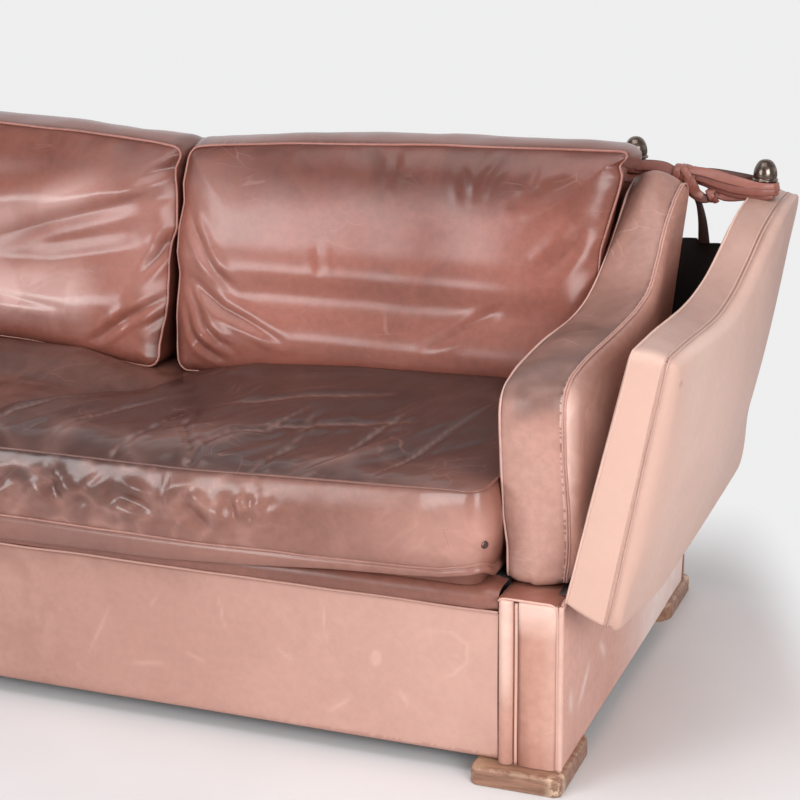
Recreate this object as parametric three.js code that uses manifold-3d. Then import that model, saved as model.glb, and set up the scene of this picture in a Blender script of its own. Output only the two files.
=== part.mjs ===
// Drop-arm leather sofa, in millimetres, +Z up, front towards -Y.
// A timber box base carries webbing, a padded deck and loose cushions. Each arm is a padded wing
// hinged on the outer top edge of the base, leaning outwards, and tied back by a leather strap
// between a turned finial on the wing and another on the rear frame.
import * as THREE from 'three';
import { mergeVertices } from 'three/addons/utils/BufferGeometryUtils.js';
import Module from 'manifold-3d';

const wasm = await Module();
wasm.setup();

// Clearances
const GAP = 0.4;                    // between pieces that rest on or against each other
const CUSHION_GAP = 3;              // between a cushion and what holds it

// Base
const BASE_WIDTH = 1830;
const BASE_DEPTH = 840;
const ARM_BASE_TOP = 315;
const ARM_BASE_WIDTH = 105;
const COVER = 12;                   // leather over its wadding
const TIMBER = 28;
const FRONT_SEAM_HEIGHT = 286;      // seam between the front panel and the lip
const FRONT_SETBACK = 9;            // front panel behind the arm facings
const PIPING = 5;                   // diameter of the welted cord along a seam
const LINING = 1.2;

// Feet
const FOOT_HEIGHT = 30;
const FOOT_WIDTH = 152;
const FOOT_LENGTH = 190;
const FOOT_PROJECTION = 28;         // in front of and behind the base
const FOOT_SIDE_PROJECTION = 9;
const FOOT_RADIUS = 16;
const FOOT_BEVEL = 2.5;

// Arm facing, the upholstered front end of each arm base
const FACING_DEPTH = 20;
const FACING_ROLL = 38;             // width of the padded roll at its inner side
const FACING_ROLL_DEPTH = 9;

// Deck and springing
const DECK_THICKNESS = 46;
const LIP_RISE = 38;                // top of the front lip above the front seam
const LIP_DEPTH = 62;
const WEB_COUNT = 5;
const WEB_WIDTH = 60;
const WEB_THICKNESS = 2.5;

// Seat cushion
const SEAT_BORDER = 126;
const SEAT_UNDERSIDE = 20;          // fullness below the lower seam
const SEAT_CROWN = 50;              // fullness above the upper seam
const SEAT_OVERHANG = 4;            // upper front seam in front of the arm facings
const SEAT_BULGE = 9;
const SEAT_RADIUS = 34;
const SEAT_CREST_INSET = 200;
const SEAT_LEDGE_MARGIN = 14;       // crown ends this far in front of the back cushions

// Back frame
const BACK_FRAME_DEPTH = 124;
const BACK_FRAME_INSET = 57;        // rear frame's side inside the base's side
const BACK_HEIGHT = 840;
const BACK_RAIL_HEIGHT = 70;
const POST_WIDTH = 46;

// Back cushions
const BACK_PAD_HEIGHT = 412;        // lower seam to upper seam
const BACK_PAD_FOOT = 242;          // thickness at the bottom
const BACK_PAD_HEAD = 128;          // thickness at the top
const BACK_PAD_CROWN = 42;
const BACK_PAD_LOFT = 22;           // fullness of the top
const BACK_PAD_RADIUS = 40;
const BACK_PAD_CREST_INSET = 170;
const BACK_PAD_EAR = 46;            // the top corner spreads over the arm cushion

// Arm cushions
const ARM_PAD_THICKNESS = 101;      // at the front top corner
const ARM_PAD_FOOT = 82;            // at the bottom
const ARM_PAD_INSET = 23;           // outer seam inside the base's side
const ARM_PAD_SETBACK = 60;
const ARM_PAD_FRONT_HEIGHT = 326;
const ARM_PAD_REAR_HEIGHT = 528;
const ARM_PAD_LIFT = 9;
const ARM_PAD_SPLAY = 40;           // how far the rear top leans outwards
const ARM_PAD_CROWN = 18;
const ARM_PAD_RADIUS = 26;

// Wings
const WING_LEAN_DEG = 13;
const WING_OVERHANG = 22;              // wing behind the base
const WING_FRONT_HEIGHT = 425;
const WING_DIP = 24;                // the top edge sinks this much before it sweeps up
const WING_REAR_HEIGHT = 505;
const WING_FOOT_BORDER = 68;        // width of the border strip at the bottom
const WING_HEAD_BORDER = 52;        // and at the front top corner
const WING_BORDER_DROP = 36;        // outer seam hangs below the inner seam
const WING_CROWN = 44;
const WING_CREST_INSET = 160;
const WING_RADIUS = 20;
const WING_CLEARANCE = 5;           // bottom edge above the hinge axis
const WING_BOARD = 15;
const WING_RIM = 24;                // pad's rim around its board
const WING_FACING = 4;

// Hinges
const HINGE_OUT = 4;                // axis outside the base's side
const HINGE_UP = 3;                 // axis above the arm base
const HINGE_PIN_RADIUS = 1.4;
const HINGE_RUNNING = 0.1;          // radial clearance of the pin
const HINGE_KNUCKLE_RADIUS = 3.2;
const HINGE_KNUCKLES = 9;
const HINGE_LEAF = 1.6;
const HINGE_LEAF_WIDTH = 22;
const HINGE_INSET = 40;             // hinge ends inside the wing's ends
const HINGE_PLAY = 0.4;             // between knuckles

// Finials and straps
const FINIAL_RADIUS = 21;
const FINIAL_HEIGHT = 38;           // acorn above the strap
const FINIAL_NECK_RADIUS = 11;
const FINIAL_NECK = 26;             // neck that the strap wraps
const FINIAL_SPIGOT = 12;
const WING_FINIAL_IN = 23;          // wing finial outside the wing's inner face
const WING_FINIAL_RISE = 7;         // foot of its neck above the wing's top
const STRAP_WRAP = 17;              // height of the turns round a neck
const STRAP_TURNS = 3;               // one over the other round a neck
const STRAP_THICKNESS = 5;
const STRAP_WIDTH = 18;
const STRAP_SPREAD = 9;             // strands apart where they leave a finial
const KNOT_RADIUS = 17;
const TAIL_LENGTH = 118;
const TAIL_WIDTH = 22;
const LINING_HEIGHT = 408;          // dark lining behind each arm, above the arm base

const HALF = BASE_WIDTH / 2;
const BASE_BOTTOM = FOOT_HEIGHT + GAP;
const INNER = HALF - ARM_BASE_WIDTH;
const FRAME_BOTTOM = BASE_BOTTOM + LINING + GAP;
const BACK_FRONT = BASE_DEPTH - BACK_FRAME_DEPTH;
const BACK_HALF = HALF - BACK_FRAME_INSET;
const POST_X = BACK_HALF - COVER - GAP - POST_WIDTH / 2;
const POST_FRONT = BACK_FRONT + COVER + GAP;
const FINIAL_SETBACK = POST_FRONT + POST_WIDTH / 2;
const RAIL_FRONT = FRONT_SETBACK + COVER + GAP;
const REAR_COVER_FRONT = BASE_DEPTH - COVER;
const LIP_TOP = FRONT_SEAM_HEIGHT + LIP_RISE;
const DECK_TOP = LIP_TOP;
const WEB_BOTTOM = DECK_TOP - DECK_THICKNESS - GAP - WEB_THICKNESS;
const RAIL_TOP = WEB_BOTTOM - GAP;
const SEAT_LOWER_SEAM = DECK_TOP + GAP + SEAT_UNDERSIDE;
const SEAT_UPPER_SEAM = SEAT_LOWER_SEAM + SEAT_BORDER;
const WING_DEPTH = BASE_DEPTH + WING_OVERHANG;
const HINGE_X = HALF + HINGE_OUT;
const HINGE_Z = ARM_BASE_TOP + HINGE_UP;
const LEAN = THREE.MathUtils.degToRad(WING_LEAN_DEG);

const colours = {
  leather: { color: 0x9c6656, roughness: 0.42, metalness: 0 },
  paleLeather: { color: 0xd2a390, roughness: 0.5, metalness: 0 },
  seatLeather: { color: 0x5c3c38, roughness: 0.38, metalness: 0 },
  strapLeather: { color: 0x8a5247, roughness: 0.5, metalness: 0 },
  timber: { color: 0xb08a5e, roughness: 0.75, metalness: 0 },
  stainedWood: { color: 0x7d5c4d, roughness: 0.45, metalness: 0 },
  bronze: { color: 0x4c4038, roughness: 0.32, metalness: 0.8 },
  steel: { color: 0x9a9c9e, roughness: 0.4, metalness: 1 },
  webbing: { color: 0x6b5a48, roughness: 0.9, metalness: 0 },
  lining: { color: 0x1c1816, roughness: 0.95, metalness: 0 },
};

const sofa = new THREE.Group();
// Built with y = 0 at the front of the arm bases, then centred front to back.
sofa.position.y = -BASE_DEPTH / 2;

function add(name, geometry, finish, position = [0, 0, 0], lean = 0) {
  const mesh = new THREE.Mesh(geometry, new THREE.MeshStandardMaterial(colours[finish]));
  mesh.name = name;
  mesh.position.set(...position);
  mesh.rotation.y = lean;
  sofa.add(mesh);
  return mesh;
}

function mirrored(geometry) {
  const copy = geometry.clone().scale(-1, 1, 1);
  if (!copy.index) {
    copy.setIndex([...Array(copy.attributes.position.count).keys()]);
  }
  const index = copy.index.array;
  for (let i = 0; i < index.length; i += 3) {
    [index[i + 1], index[i + 2]] = [index[i + 2], index[i + 1]];
  }
  copy.computeVertexNormals();
  return copy;
}

function addPair(name, geometry, finish, position = [0, 0, 0], lean = 0) {
  const [x, y, z] = position;
  add(`${name}_right`, geometry, finish, [x, y, z], lean);
  add(`${name}_left`, mirrored(geometry), finish, [-x, y, z], -lean);
}

// Joins and cuts
function toSolid(geometry) {
  const bare = geometry.clone();
  bare.deleteAttribute('normal');
  bare.deleteAttribute('uv');
  const merged = mergeVertices(bare, 1e-4);
  return new wasm.Manifold(new wasm.Mesh({
    numProp: 3,
    vertProperties: new Float32Array(merged.attributes.position.array),
    triVerts: new Uint32Array(merged.index.array),
  }));
}

function toGeometry(solid) {
  const mesh = solid.getMesh();
  const geometry = new THREE.BufferGeometry();
  geometry.setAttribute('position', new THREE.BufferAttribute(mesh.vertProperties, 3));
  geometry.setIndex(new THREE.BufferAttribute(mesh.triVerts, 1));
  geometry.computeVertexNormals();
  return geometry;
}

const join = (geometries) => toGeometry(
  geometries.map(toSolid).reduce((whole, piece) => whole.add(piece)),
);
const cut = (geometry, cutters) => toGeometry(
  cutters.map(toSolid).reduce((whole, piece) => whole.subtract(piece), toSolid(geometry)),
);

// Plain forms, given by their limits along each axis
function slab([x0, x1], [y0, y1], [z0, z1]) {
  const geometry = new THREE.BoxGeometry(x1 - x0, y1 - y0, z1 - z0);
  return geometry.translate((x0 + x1) / 2, (y0 + y1) / 2, (z0 + z1) / 2);
}

function extrudeUp(shape, z0, z1, bevel = 0) {
  const geometry = new THREE.ExtrudeGeometry(shape, {
    depth: z1 - z0 - 2 * bevel,
    bevelEnabled: bevel > 0,
    bevelThickness: bevel,
    bevelSize: bevel,
    bevelOffset: -bevel,
    bevelSegments: 1,
    curveSegments: 4,
  });
  return geometry.translate(0, 0, z0 + bevel);
}

// A shape drawn in y and z, run along x
function extrudeAcross(shape, x0, x1) {
  const geometry = new THREE.ExtrudeGeometry(shape, {
    depth: x1 - x0,
    bevelEnabled: false,
    curveSegments: 5,
  });
  geometry.rotateX(Math.PI / 2).rotateZ(Math.PI / 2);
  return geometry.translate(x0, 0, 0);
}

// A shape drawn in x and z, run along y
function extrudeBack(shape, y0, y1, curveSegments = 8) {
  const geometry = new THREE.ExtrudeGeometry(shape, {
    depth: y1 - y0,
    bevelEnabled: false,
    curveSegments,
  });
  return geometry.rotateX(Math.PI / 2).translate(0, y1, 0);
}

function polygon(points) {
  return new THREE.Shape(points.map(([a, b]) => new THREE.Vector2(a, b)));
}

function roundedRectangle(x0, y0, x1, y1, radius) {
  const shape = new THREE.Shape();
  shape.absarc(x1 - radius, y0 + radius, radius, -Math.PI / 2, 0);
  shape.absarc(x1 - radius, y1 - radius, radius, 0, Math.PI / 2);
  shape.absarc(x0 + radius, y1 - radius, radius, Math.PI / 2, Math.PI);
  shape.absarc(x0 + radius, y0 + radius, radius, Math.PI, 1.5 * Math.PI);
  return shape;
}

// The points of an outline, with long edges split so that a padded face can swell between them
function outlinePoints(shape, longest, curveSegments = 4) {
  const corners = shape.getPoints(curveSegments);
  const points = [];
  corners.forEach((corner, i) => {
    const next = corners[(i + 1) % corners.length];
    const length = corner.distanceTo(next);
    if (length < 0.01) {
      return;
    }
    const pieces = Math.ceil(length / longest);
    for (let k = 0; k < pieces; k += 1) {
      points.push(corner.clone().lerp(next, k / pieces));
    }
  });
  return points;
}

// A padded form: the same outline at several heights, drawn in by each ring's inset, closed at
// both ends by a fan. place turns outline coordinates and a height into a point.
function padded(outline, rings, place) {
  const box = new THREE.Box2().setFromPoints(outline);
  const centre = box.getCenter(new THREE.Vector2());
  const half = box.getSize(new THREE.Vector2()).multiplyScalar(0.5);
  const positions = [];
  const index = [];
  const count = outline.length;
  rings.forEach((ring) => {
    outline.forEach((point) => {
      const a = centre.x + (point.x - centre.x) * (1 - ring.inset / half.x);
      const b = centre.y + (point.y - centre.y) * (1 - ring.inset / half.y);
      positions.push(...place(a, b, ring));
    });
  });
  for (let r = 0; r + 1 < rings.length; r += 1) {
    for (let i = 0; i < count; i += 1) {
      const a = r * count + i;
      const b = r * count + (i + 1) % count;
      index.push(a, b, b + count, a, b + count, a + count);
    }
  }
  const last = rings.length - 1;
  const ends = [[0, rings[0], false], [last * count, rings[last], true]];
  ends.forEach(([start, ring, forward]) => {
    const tip = positions.length / 3;
    positions.push(...place(centre.x, centre.y, ring));
    for (let i = 0; i < count; i += 1) {
      const a = start + i;
      const b = start + (i + 1) % count;
      index.push(...(forward ? [a, b, tip] : [b, a, tip]));
    }
  });
  const geometry = new THREE.BufferGeometry();
  geometry.setAttribute('position', new THREE.Float32BufferAttribute(positions, 3));
  geometry.setIndex(index);
  return facingOut(geometry);
}

function facingOut(geometry) {
  if (signedVolume(geometry) < 0) {
    const index = geometry.index.array;
    for (let i = 0; i < index.length; i += 3) {
      [index[i + 1], index[i + 2]] = [index[i + 2], index[i + 1]];
    }
  }
  geometry.computeVertexNormals();
  return geometry;
}

function signedVolume(geometry) {
  const position = geometry.attributes.position;
  const index = geometry.index.array;
  const corner = (i) => new THREE.Vector3().fromBufferAttribute(position, index[i]);
  let sum = 0;
  for (let i = 0; i < index.length; i += 3) {
    sum += corner(i).dot(corner(i + 1).cross(corner(i + 2)));
  }
  return sum / 6;
}

// Feet: flat blocks with rounded corners, standing out past the base
function foot() {
  const shape = roundedRectangle(
    -FOOT_WIDTH / 2, -FOOT_LENGTH / 2, FOOT_WIDTH / 2, FOOT_LENGTH / 2, FOOT_RADIUS,
  );
  return extrudeUp(shape, 0, FOOT_HEIGHT, FOOT_BEVEL);
}

function addFeet() {
  const x = HALF + FOOT_SIDE_PROJECTION - FOOT_WIDTH / 2;
  const front = FOOT_LENGTH / 2 - FOOT_PROJECTION;
  addPair('foot_front', foot(), 'stainedWood', [x, front, 0]);
  addPair('foot_rear', foot(), 'stainedWood', [x, BASE_DEPTH - front, 0]);
}

// Timber frame of the base and the back
function addFrame() {
  const inner = INNER - GAP;
  const railBack = REAR_COVER_FRONT - GAP;
  const sideFront = RAIL_FRONT + TIMBER + GAP;
  const sideBack = railBack - TIMBER - GAP;
  const height = [FRAME_BOTTOM, RAIL_TOP];
  add('frame_front_rail', slab([-inner, inner], [RAIL_FRONT, RAIL_FRONT + TIMBER], height), 'timber');
  add('frame_rear_rail', slab([-inner, inner], [railBack - TIMBER, railBack], height), 'timber');
  addPair('frame_side_rail', slab([inner - TIMBER, inner], [sideFront, sideBack], height), 'timber');
  const low = [FRAME_BOTTOM, FRAME_BOTTOM + 2 * TIMBER];
  add('frame_centre_rail', slab([-TIMBER / 2, TIMBER / 2], [sideFront, sideBack], low), 'timber');

  const outer = HALF - COVER - GAP;
  const armTop = ARM_BASE_TOP - COVER - GAP;
  const armFront = FACING_DEPTH + GAP;
  addPair('frame_arm_rail', slab(
    [outer - TIMBER, outer], [armFront, BACK_FRONT - GAP], [FRAME_BOTTOM, armTop],
  ), 'timber');

  const postTop = BACK_HEIGHT - COVER - GAP;
  addPair('back_post', slab(
    [POST_X - POST_WIDTH / 2, POST_X + POST_WIDTH / 2],
    [POST_FRONT, POST_FRONT + POST_WIDTH],
    [ARM_BASE_TOP + GAP, postTop],
  ), 'timber');
  const railEnd = POST_X - POST_WIDTH / 2 - GAP;
  const railDepth = [POST_FRONT, POST_FRONT + TIMBER];
  add('back_top_rail', slab(
    [-railEnd, railEnd], railDepth, [postTop - BACK_RAIL_HEIGHT, postTop],
  ), 'timber');
  add('back_lower_rail', slab(
    [-railEnd, railEnd], railDepth, [SEAT_UPPER_SEAM - BACK_RAIL_HEIGHT, SEAT_UPPER_SEAM],
  ), 'timber');
}

// Elastic webbing, front to back under the seat
function addWebbing() {
  const pitch = (2 * INNER) / (WEB_COUNT + 1);
  for (let i = 1; i <= WEB_COUNT; i += 1) {
    const x = -INNER + i * pitch;
    add(`seat_webbing_${i}`, slab(
      [x - WEB_WIDTH / 2, x + WEB_WIDTH / 2],
      [RAIL_FRONT, REAR_COVER_FRONT - GAP],
      [WEB_BOTTOM, WEB_BOTTOM + WEB_THICKNESS],
    ), 'webbing');
  }
}

// Padded deck and the leather roll along its front edge
function addDeck() {
  const inner = INNER - GAP;
  const lipFront = FRONT_SETBACK - 4;
  const lipBack = lipFront + LIP_DEPTH;
  const bottom = FRONT_SEAM_HEIGHT + GAP;
  const lip = new THREE.Shape();
  lip.moveTo(lipBack, bottom);
  lip.lineTo(lipBack, LIP_TOP);
  lip.lineTo(lipFront + 26, LIP_TOP);
  lip.bezierCurveTo(lipFront + 8, LIP_TOP, lipFront - 4, LIP_TOP - 10, lipFront, bottom + 12);
  lip.quadraticCurveTo(lipFront + 1, bottom, lipFront + 8, bottom);
  add('deck_front_lip', extrudeAcross(lip, -inner, inner), 'leather');
  add('seat_deck', slab(
    [-inner, inner], [lipBack + GAP, BACK_FRONT - GAP], [DECK_TOP - DECK_THICKNESS, DECK_TOP],
  ), 'lining');
}

// Front panel with its welted upper seam
function addFrontPanel() {
  const front = FRONT_SETBACK;
  const seam = FRONT_SEAM_HEIGHT - PIPING / 2;
  const shape = new THREE.Shape();
  shape.moveTo(front + COVER, BASE_BOTTOM);
  shape.lineTo(front + COVER, FRONT_SEAM_HEIGHT);
  shape.lineTo(front + 1, FRONT_SEAM_HEIGHT);
  shape.absarc(front, seam, PIPING / 2, Math.PI / 2, 1.5 * Math.PI);
  shape.lineTo(front + 2, seam - PIPING / 2 - 2);
  shape.lineTo(front, BASE_BOTTOM + 3);
  shape.lineTo(front + 2, BASE_BOTTOM);
  const inner = INNER - GAP;
  add('front_panel', extrudeAcross(shape, -inner, inner), 'paleLeather');
}

// Arm bases: a facing with a padded roll and welts, an outer side panel and a top
function facingOutline() {
  const shape = new THREE.Shape();
  const rollEnd = INNER + FACING_ROLL;
  const welt = PIPING / 2;
  const flatEnd = HALF - COVER;
  shape.moveTo(INNER, FACING_DEPTH);
  shape.lineTo(INNER, FACING_ROLL_DEPTH);
  shape.bezierCurveTo(INNER + 2, -2, rollEnd - 2, -2, rollEnd, FACING_ROLL_DEPTH - 2);
  shape.absarc(rollEnd + welt, 3, welt, Math.PI, 2 * Math.PI, false);
  shape.absarc(rollEnd + 3.4 * welt, 3, welt, Math.PI, 2 * Math.PI, false);
  shape.lineTo(rollEnd + 5 * welt, 4.5);
  shape.quadraticCurveTo((rollEnd + flatEnd) / 2, 1, flatEnd - welt, 4.5);
  shape.absarc(flatEnd + welt, 3, welt, Math.PI, 2 * Math.PI, false);
  shape.quadraticCurveTo(HALF, 3, HALF, 8);
  shape.lineTo(HALF, FACING_DEPTH);
  return shape;
}

function addArmBases() {
  const facing = new THREE.ExtrudeGeometry(facingOutline(), {
    depth: ARM_BASE_TOP - BASE_BOTTOM,
    bevelEnabled: false,
    curveSegments: 4,
  }).translate(0, 0, BASE_BOTTOM);
  addPair('arm_facing', facing, 'paleLeather');

  const behindFacing = FACING_DEPTH + GAP;
  addPair('arm_side_panel', slab(
    [HALF - COVER, HALF],
    [behindFacing, REAR_COVER_FRONT - GAP],
    [BASE_BOTTOM, ARM_BASE_TOP - COVER - GAP],
  ), 'paleLeather');

  const top = polygon([
    [INNER, behindFacing],
    [HALF, behindFacing],
    [HALF, REAR_COVER_FRONT - GAP],
    [BACK_HALF + GAP, REAR_COVER_FRONT - GAP],
    [BACK_HALF + GAP, BACK_FRONT - GAP],
    [INNER, BACK_FRONT - GAP],
  ]);
  addPair('arm_base_top', extrudeUp(top, ARM_BASE_TOP - COVER, ARM_BASE_TOP), 'paleLeather');
}

// Covers of the back frame: inside face, sides, top and the one-piece outside back
function addBackCovers() {
  const top = BACK_HEIGHT - COVER;
  add('back_inside_panel', slab(
    [-BACK_HALF, BACK_HALF], [BACK_FRONT, BACK_FRONT + COVER], [ARM_BASE_TOP + GAP, top - GAP],
  ), 'leather');
  addPair('back_side_panel', slab(
    [BACK_HALF - COVER, BACK_HALF],
    [BACK_FRONT + COVER + GAP, REAR_COVER_FRONT - GAP],
    [ARM_BASE_TOP + GAP, top - GAP],
  ), 'leather');

  const cap = roundedRectangle(-BACK_HALF, BACK_FRONT, BACK_HALF, BASE_DEPTH, 10);
  [-POST_X, POST_X].forEach((x) => {
    const hole = new THREE.Path();
    hole.absarc(x, FINIAL_SETBACK, FINIAL_NECK_RADIUS + 3 * GAP, 0, 2 * Math.PI, true);
    cap.holes.push(hole);
  });
  add('back_top_panel', extrudeUp(cap, top, BACK_HEIGHT), 'leather');

  const outside = polygon([
    [-HALF, BASE_BOTTOM],
    [HALF, BASE_BOTTOM],
    [HALF, ARM_BASE_TOP],
    [BACK_HALF, ARM_BASE_TOP],
    [BACK_HALF, top - GAP],
    [-BACK_HALF, top - GAP],
    [-BACK_HALF, ARM_BASE_TOP],
    [-HALF, ARM_BASE_TOP],
  ]);
  add('outside_back_panel', extrudeBack(outside, REAR_COVER_FRONT, BASE_DEPTH), 'leather');
}

function addDustCover() {
  const edge = HALF - COVER - GAP;
  add('dust_cover', slab(
    [-edge, edge],
    [RAIL_FRONT, REAR_COVER_FRONT - GAP],
    [BASE_BOTTOM, BASE_BOTTOM + LINING],
  ), 'lining');
}

// Seat cushion: one long box cushion, swollen below and above, with a flat ledge at the rear
// where the back cushions press on it
function addSeatCushion() {
  const halfWidth = HALF - ARM_PAD_INSET - ARM_PAD_THICKNESS - CUSHION_GAP;
  const front = -SEAT_OVERHANG;
  const back = BACK_FRONT - CUSHION_GAP;
  const ledge = BACK_FRONT - BACK_PAD_FOOT - SEAT_LEDGE_MARGIN;
  const outline = outlinePoints(
    roundedRectangle(-halfWidth, front, halfWidth, back, SEAT_RADIUS), 150,
  );
  const rings = [
    { inset: 110, z: SEAT_LOWER_SEAM - SEAT_UNDERSIDE, rear: back },
    { inset: 30, z: SEAT_LOWER_SEAM - 0.7 * SEAT_UNDERSIDE, rear: back },
    { inset: 0, z: SEAT_LOWER_SEAM, rear: back },
    { inset: -SEAT_BULGE, z: (SEAT_LOWER_SEAM + SEAT_UPPER_SEAM) / 2, rear: back },
    { inset: 0, z: SEAT_UPPER_SEAM, rear: back },
    { inset: 4, z: SEAT_UPPER_SEAM + 0.03 * SEAT_CROWN, rear: ledge },
    { inset: 26, z: SEAT_UPPER_SEAM + 0.5 * SEAT_CROWN, rear: ledge },
    { inset: 90, z: SEAT_UPPER_SEAM + 0.85 * SEAT_CROWN, rear: ledge },
    { inset: SEAT_CREST_INSET, z: SEAT_UPPER_SEAM + SEAT_CROWN, rear: ledge },
  ];
  const place = (x, y, ring) => {
    const share = (Math.min(y, back) - front) / (back - front);
    const side = THREE.MathUtils.clamp(x, -halfWidth, halfWidth);
    return [side, front + share * (ring.rear - front), ring.z];
  };
  add('seat_cushion', padded(outline, rings, place), 'seatLeather');
}

// Back cushions: wedges that lean on the back frame, with a swollen face and top
function addBackCushions() {
  const inner = CUSHION_GAP;
  const outer = HALF - ARM_PAD_INSET - ARM_PAD_THICKNESS;
  const armTop = ARM_BASE_TOP + ARM_PAD_REAR_HEIGHT + CUSHION_GAP;
  const bottom = SEAT_UPPER_SEAM + CUSHION_GAP;
  const top = bottom + BACK_PAD_HEIGHT;
  const rear = BACK_FRONT - CUSHION_GAP;
  const outline = outlinePoints(
    roundedRectangle(inner, bottom, outer, top, BACK_PAD_RADIUS), 120,
  );
  const slope = (BACK_PAD_FOOT - BACK_PAD_HEAD) / BACK_PAD_HEIGHT;
  const thickness = (z) => BACK_PAD_FOOT - CUSHION_GAP - slope * (z - bottom);
  const rings = [
    { inset: BACK_PAD_CREST_INSET, part: 1, swell: 1, loft: 0 },
    { inset: 80, part: 1, swell: 0.82, loft: 0 },
    { inset: 24, part: 1, swell: 0.4, loft: 0 },
    { inset: 0, part: 1, swell: 0, loft: 0 },
    { inset: 0, part: 0.8, swell: 0, loft: 0.7 },
    { inset: 0, part: 0.4, swell: 0, loft: 1 },
    { inset: 0, part: 0.08, swell: 0, loft: 0.5 },
    { inset: 12, part: 0, swell: 0, loft: 0 },
  ];
  const place = (x, z, ring) => {
    const y = rear - ring.part * thickness(z) - ring.swell * BACK_PAD_CROWN;
    const nearTop = THREE.MathUtils.smoothstep(z, top - BACK_PAD_RADIUS, top);
    const nearEnd = THREE.MathUtils.smoothstep(x, outer - 120, outer);
    const ear = BACK_PAD_EAR * nearEnd * THREE.MathUtils.clamp((z - armTop) / 12, 0, 1);
    return [x + ear, y, z + ring.loft * BACK_PAD_LOFT * nearTop];
  };
  addPair('back_cushion', padded(outline, rings, place), 'leather');
}

// Arm cushions: upright pads with a swept top, standing on the arm bases
function armPadOutline() {
  const bottom = ARM_BASE_TOP + ARM_PAD_LIFT;
  const frontTop = ARM_BASE_TOP + ARM_PAD_FRONT_HEIGHT;
  const rearTop = ARM_BASE_TOP + ARM_PAD_REAR_HEIGHT;
  const front = ARM_PAD_SETBACK;
  const rear = BACK_FRONT - CUSHION_GAP;
  const length = rear - front;
  const sweepStart = front + 0.56 * length;
  const sweepEnd = rear - 0.09 * length;
  const rise = rearTop - frontTop;
  const shape = new THREE.Shape();
  shape.moveTo(front + 8, bottom);
  shape.lineTo(rear, bottom);
  shape.lineTo(rear, rearTop - 14);
  shape.quadraticCurveTo(rear - 2, rearTop, rear - 18, rearTop);
  shape.lineTo(sweepEnd, rearTop - 3);
  shape.bezierCurveTo(
    sweepEnd - 100, rearTop - 4, sweepStart + 105, frontTop + 0.2 * rise,
    sweepStart, frontTop + 0.14 * rise,
  );
  shape.lineTo(front + ARM_PAD_RADIUS, frontTop);
  shape.quadraticCurveTo(front, frontTop - 2, front, frontTop - ARM_PAD_RADIUS);
  shape.lineTo(front, bottom + 10);
  shape.quadraticCurveTo(front + 1, bottom, front + 8, bottom);
  return outlinePoints(shape, 90, 5);
}

function addArmCushions() {
  const outerSeam = HALF - ARM_PAD_INSET;
  const bottom = ARM_BASE_TOP + ARM_PAD_LIFT;
  const height = ARM_PAD_REAR_HEIGHT - ARM_PAD_LIFT;
  const length = BACK_FRONT - ARM_PAD_SETBACK;
  const rings = [
    { inset: 90, inside: 1, swell: 0 },
    { inset: 30, inside: 1, swell: 0 },
    { inset: 0, inside: 0.94, swell: 0 },
    { inset: -3, inside: 0.5, swell: 0 },
    { inset: 0, inside: 0, swell: 0 },
    { inset: 22, inside: 0, swell: 0.7 },
    { inset: 90, inside: 0, swell: 1 },
  ];
  const place = (y, z, ring) => {
    const up = THREE.MathUtils.clamp((z - bottom) / ARM_PAD_FRONT_HEIGHT, 0, 1);
    const thickness = ARM_PAD_FOOT + (ARM_PAD_THICKNESS - ARM_PAD_FOOT) * up;
    const splay = (ARM_PAD_SPLAY * (y - ARM_PAD_SETBACK) * (z - bottom)) / (length * height);
    const x = outerSeam - ring.inside * thickness + ring.swell * ARM_PAD_CROWN + splay;
    const low = THREE.MathUtils.clamp(z, bottom, bottom + height + 2);
    return [x, Math.min(y, BACK_FRONT - CUSHION_GAP), low];
  };
  addPair('arm_cushion', padded(armPadOutline(), rings, place), 'paleLeather');
}

// Wings: drawn in y (front to back) and z (along the wing) with x across its thickness
function wingOutline(inset = 0) {
  const front = inset;
  const rear = WING_DEPTH - inset;
  const bottom = WING_CLEARANCE + inset;
  const frontTop = WING_FRONT_HEIGHT - inset;
  const dip = frontTop - WING_DIP;
  const rearTop = WING_REAR_HEIGHT - inset;
  const radius = WING_RADIUS;
  const rise = rearTop - dip;
  const at = (share) => front + share * (rear - front);
  const shape = new THREE.Shape();
  shape.moveTo(front, bottom);
  shape.lineTo(rear, bottom);
  shape.lineTo(rear, rearTop - radius);
  shape.quadraticCurveTo(rear, rearTop, rear - radius, rearTop);
  shape.lineTo(at(0.8), rearTop - 5);
  shape.bezierCurveTo(at(0.73), rearTop - 7, at(0.69), dip + 0.6 * rise, at(0.655), dip + 0.5 * rise);
  shape.bezierCurveTo(at(0.6), dip + 0.24 * rise, at(0.54), dip, at(0.44), dip);
  shape.bezierCurveTo(at(0.32), dip - 2, at(0.2), frontTop - 12, front + radius, frontTop);
  shape.quadraticCurveTo(front, frontTop, front, frontTop - radius);
  return shape;
}

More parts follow.
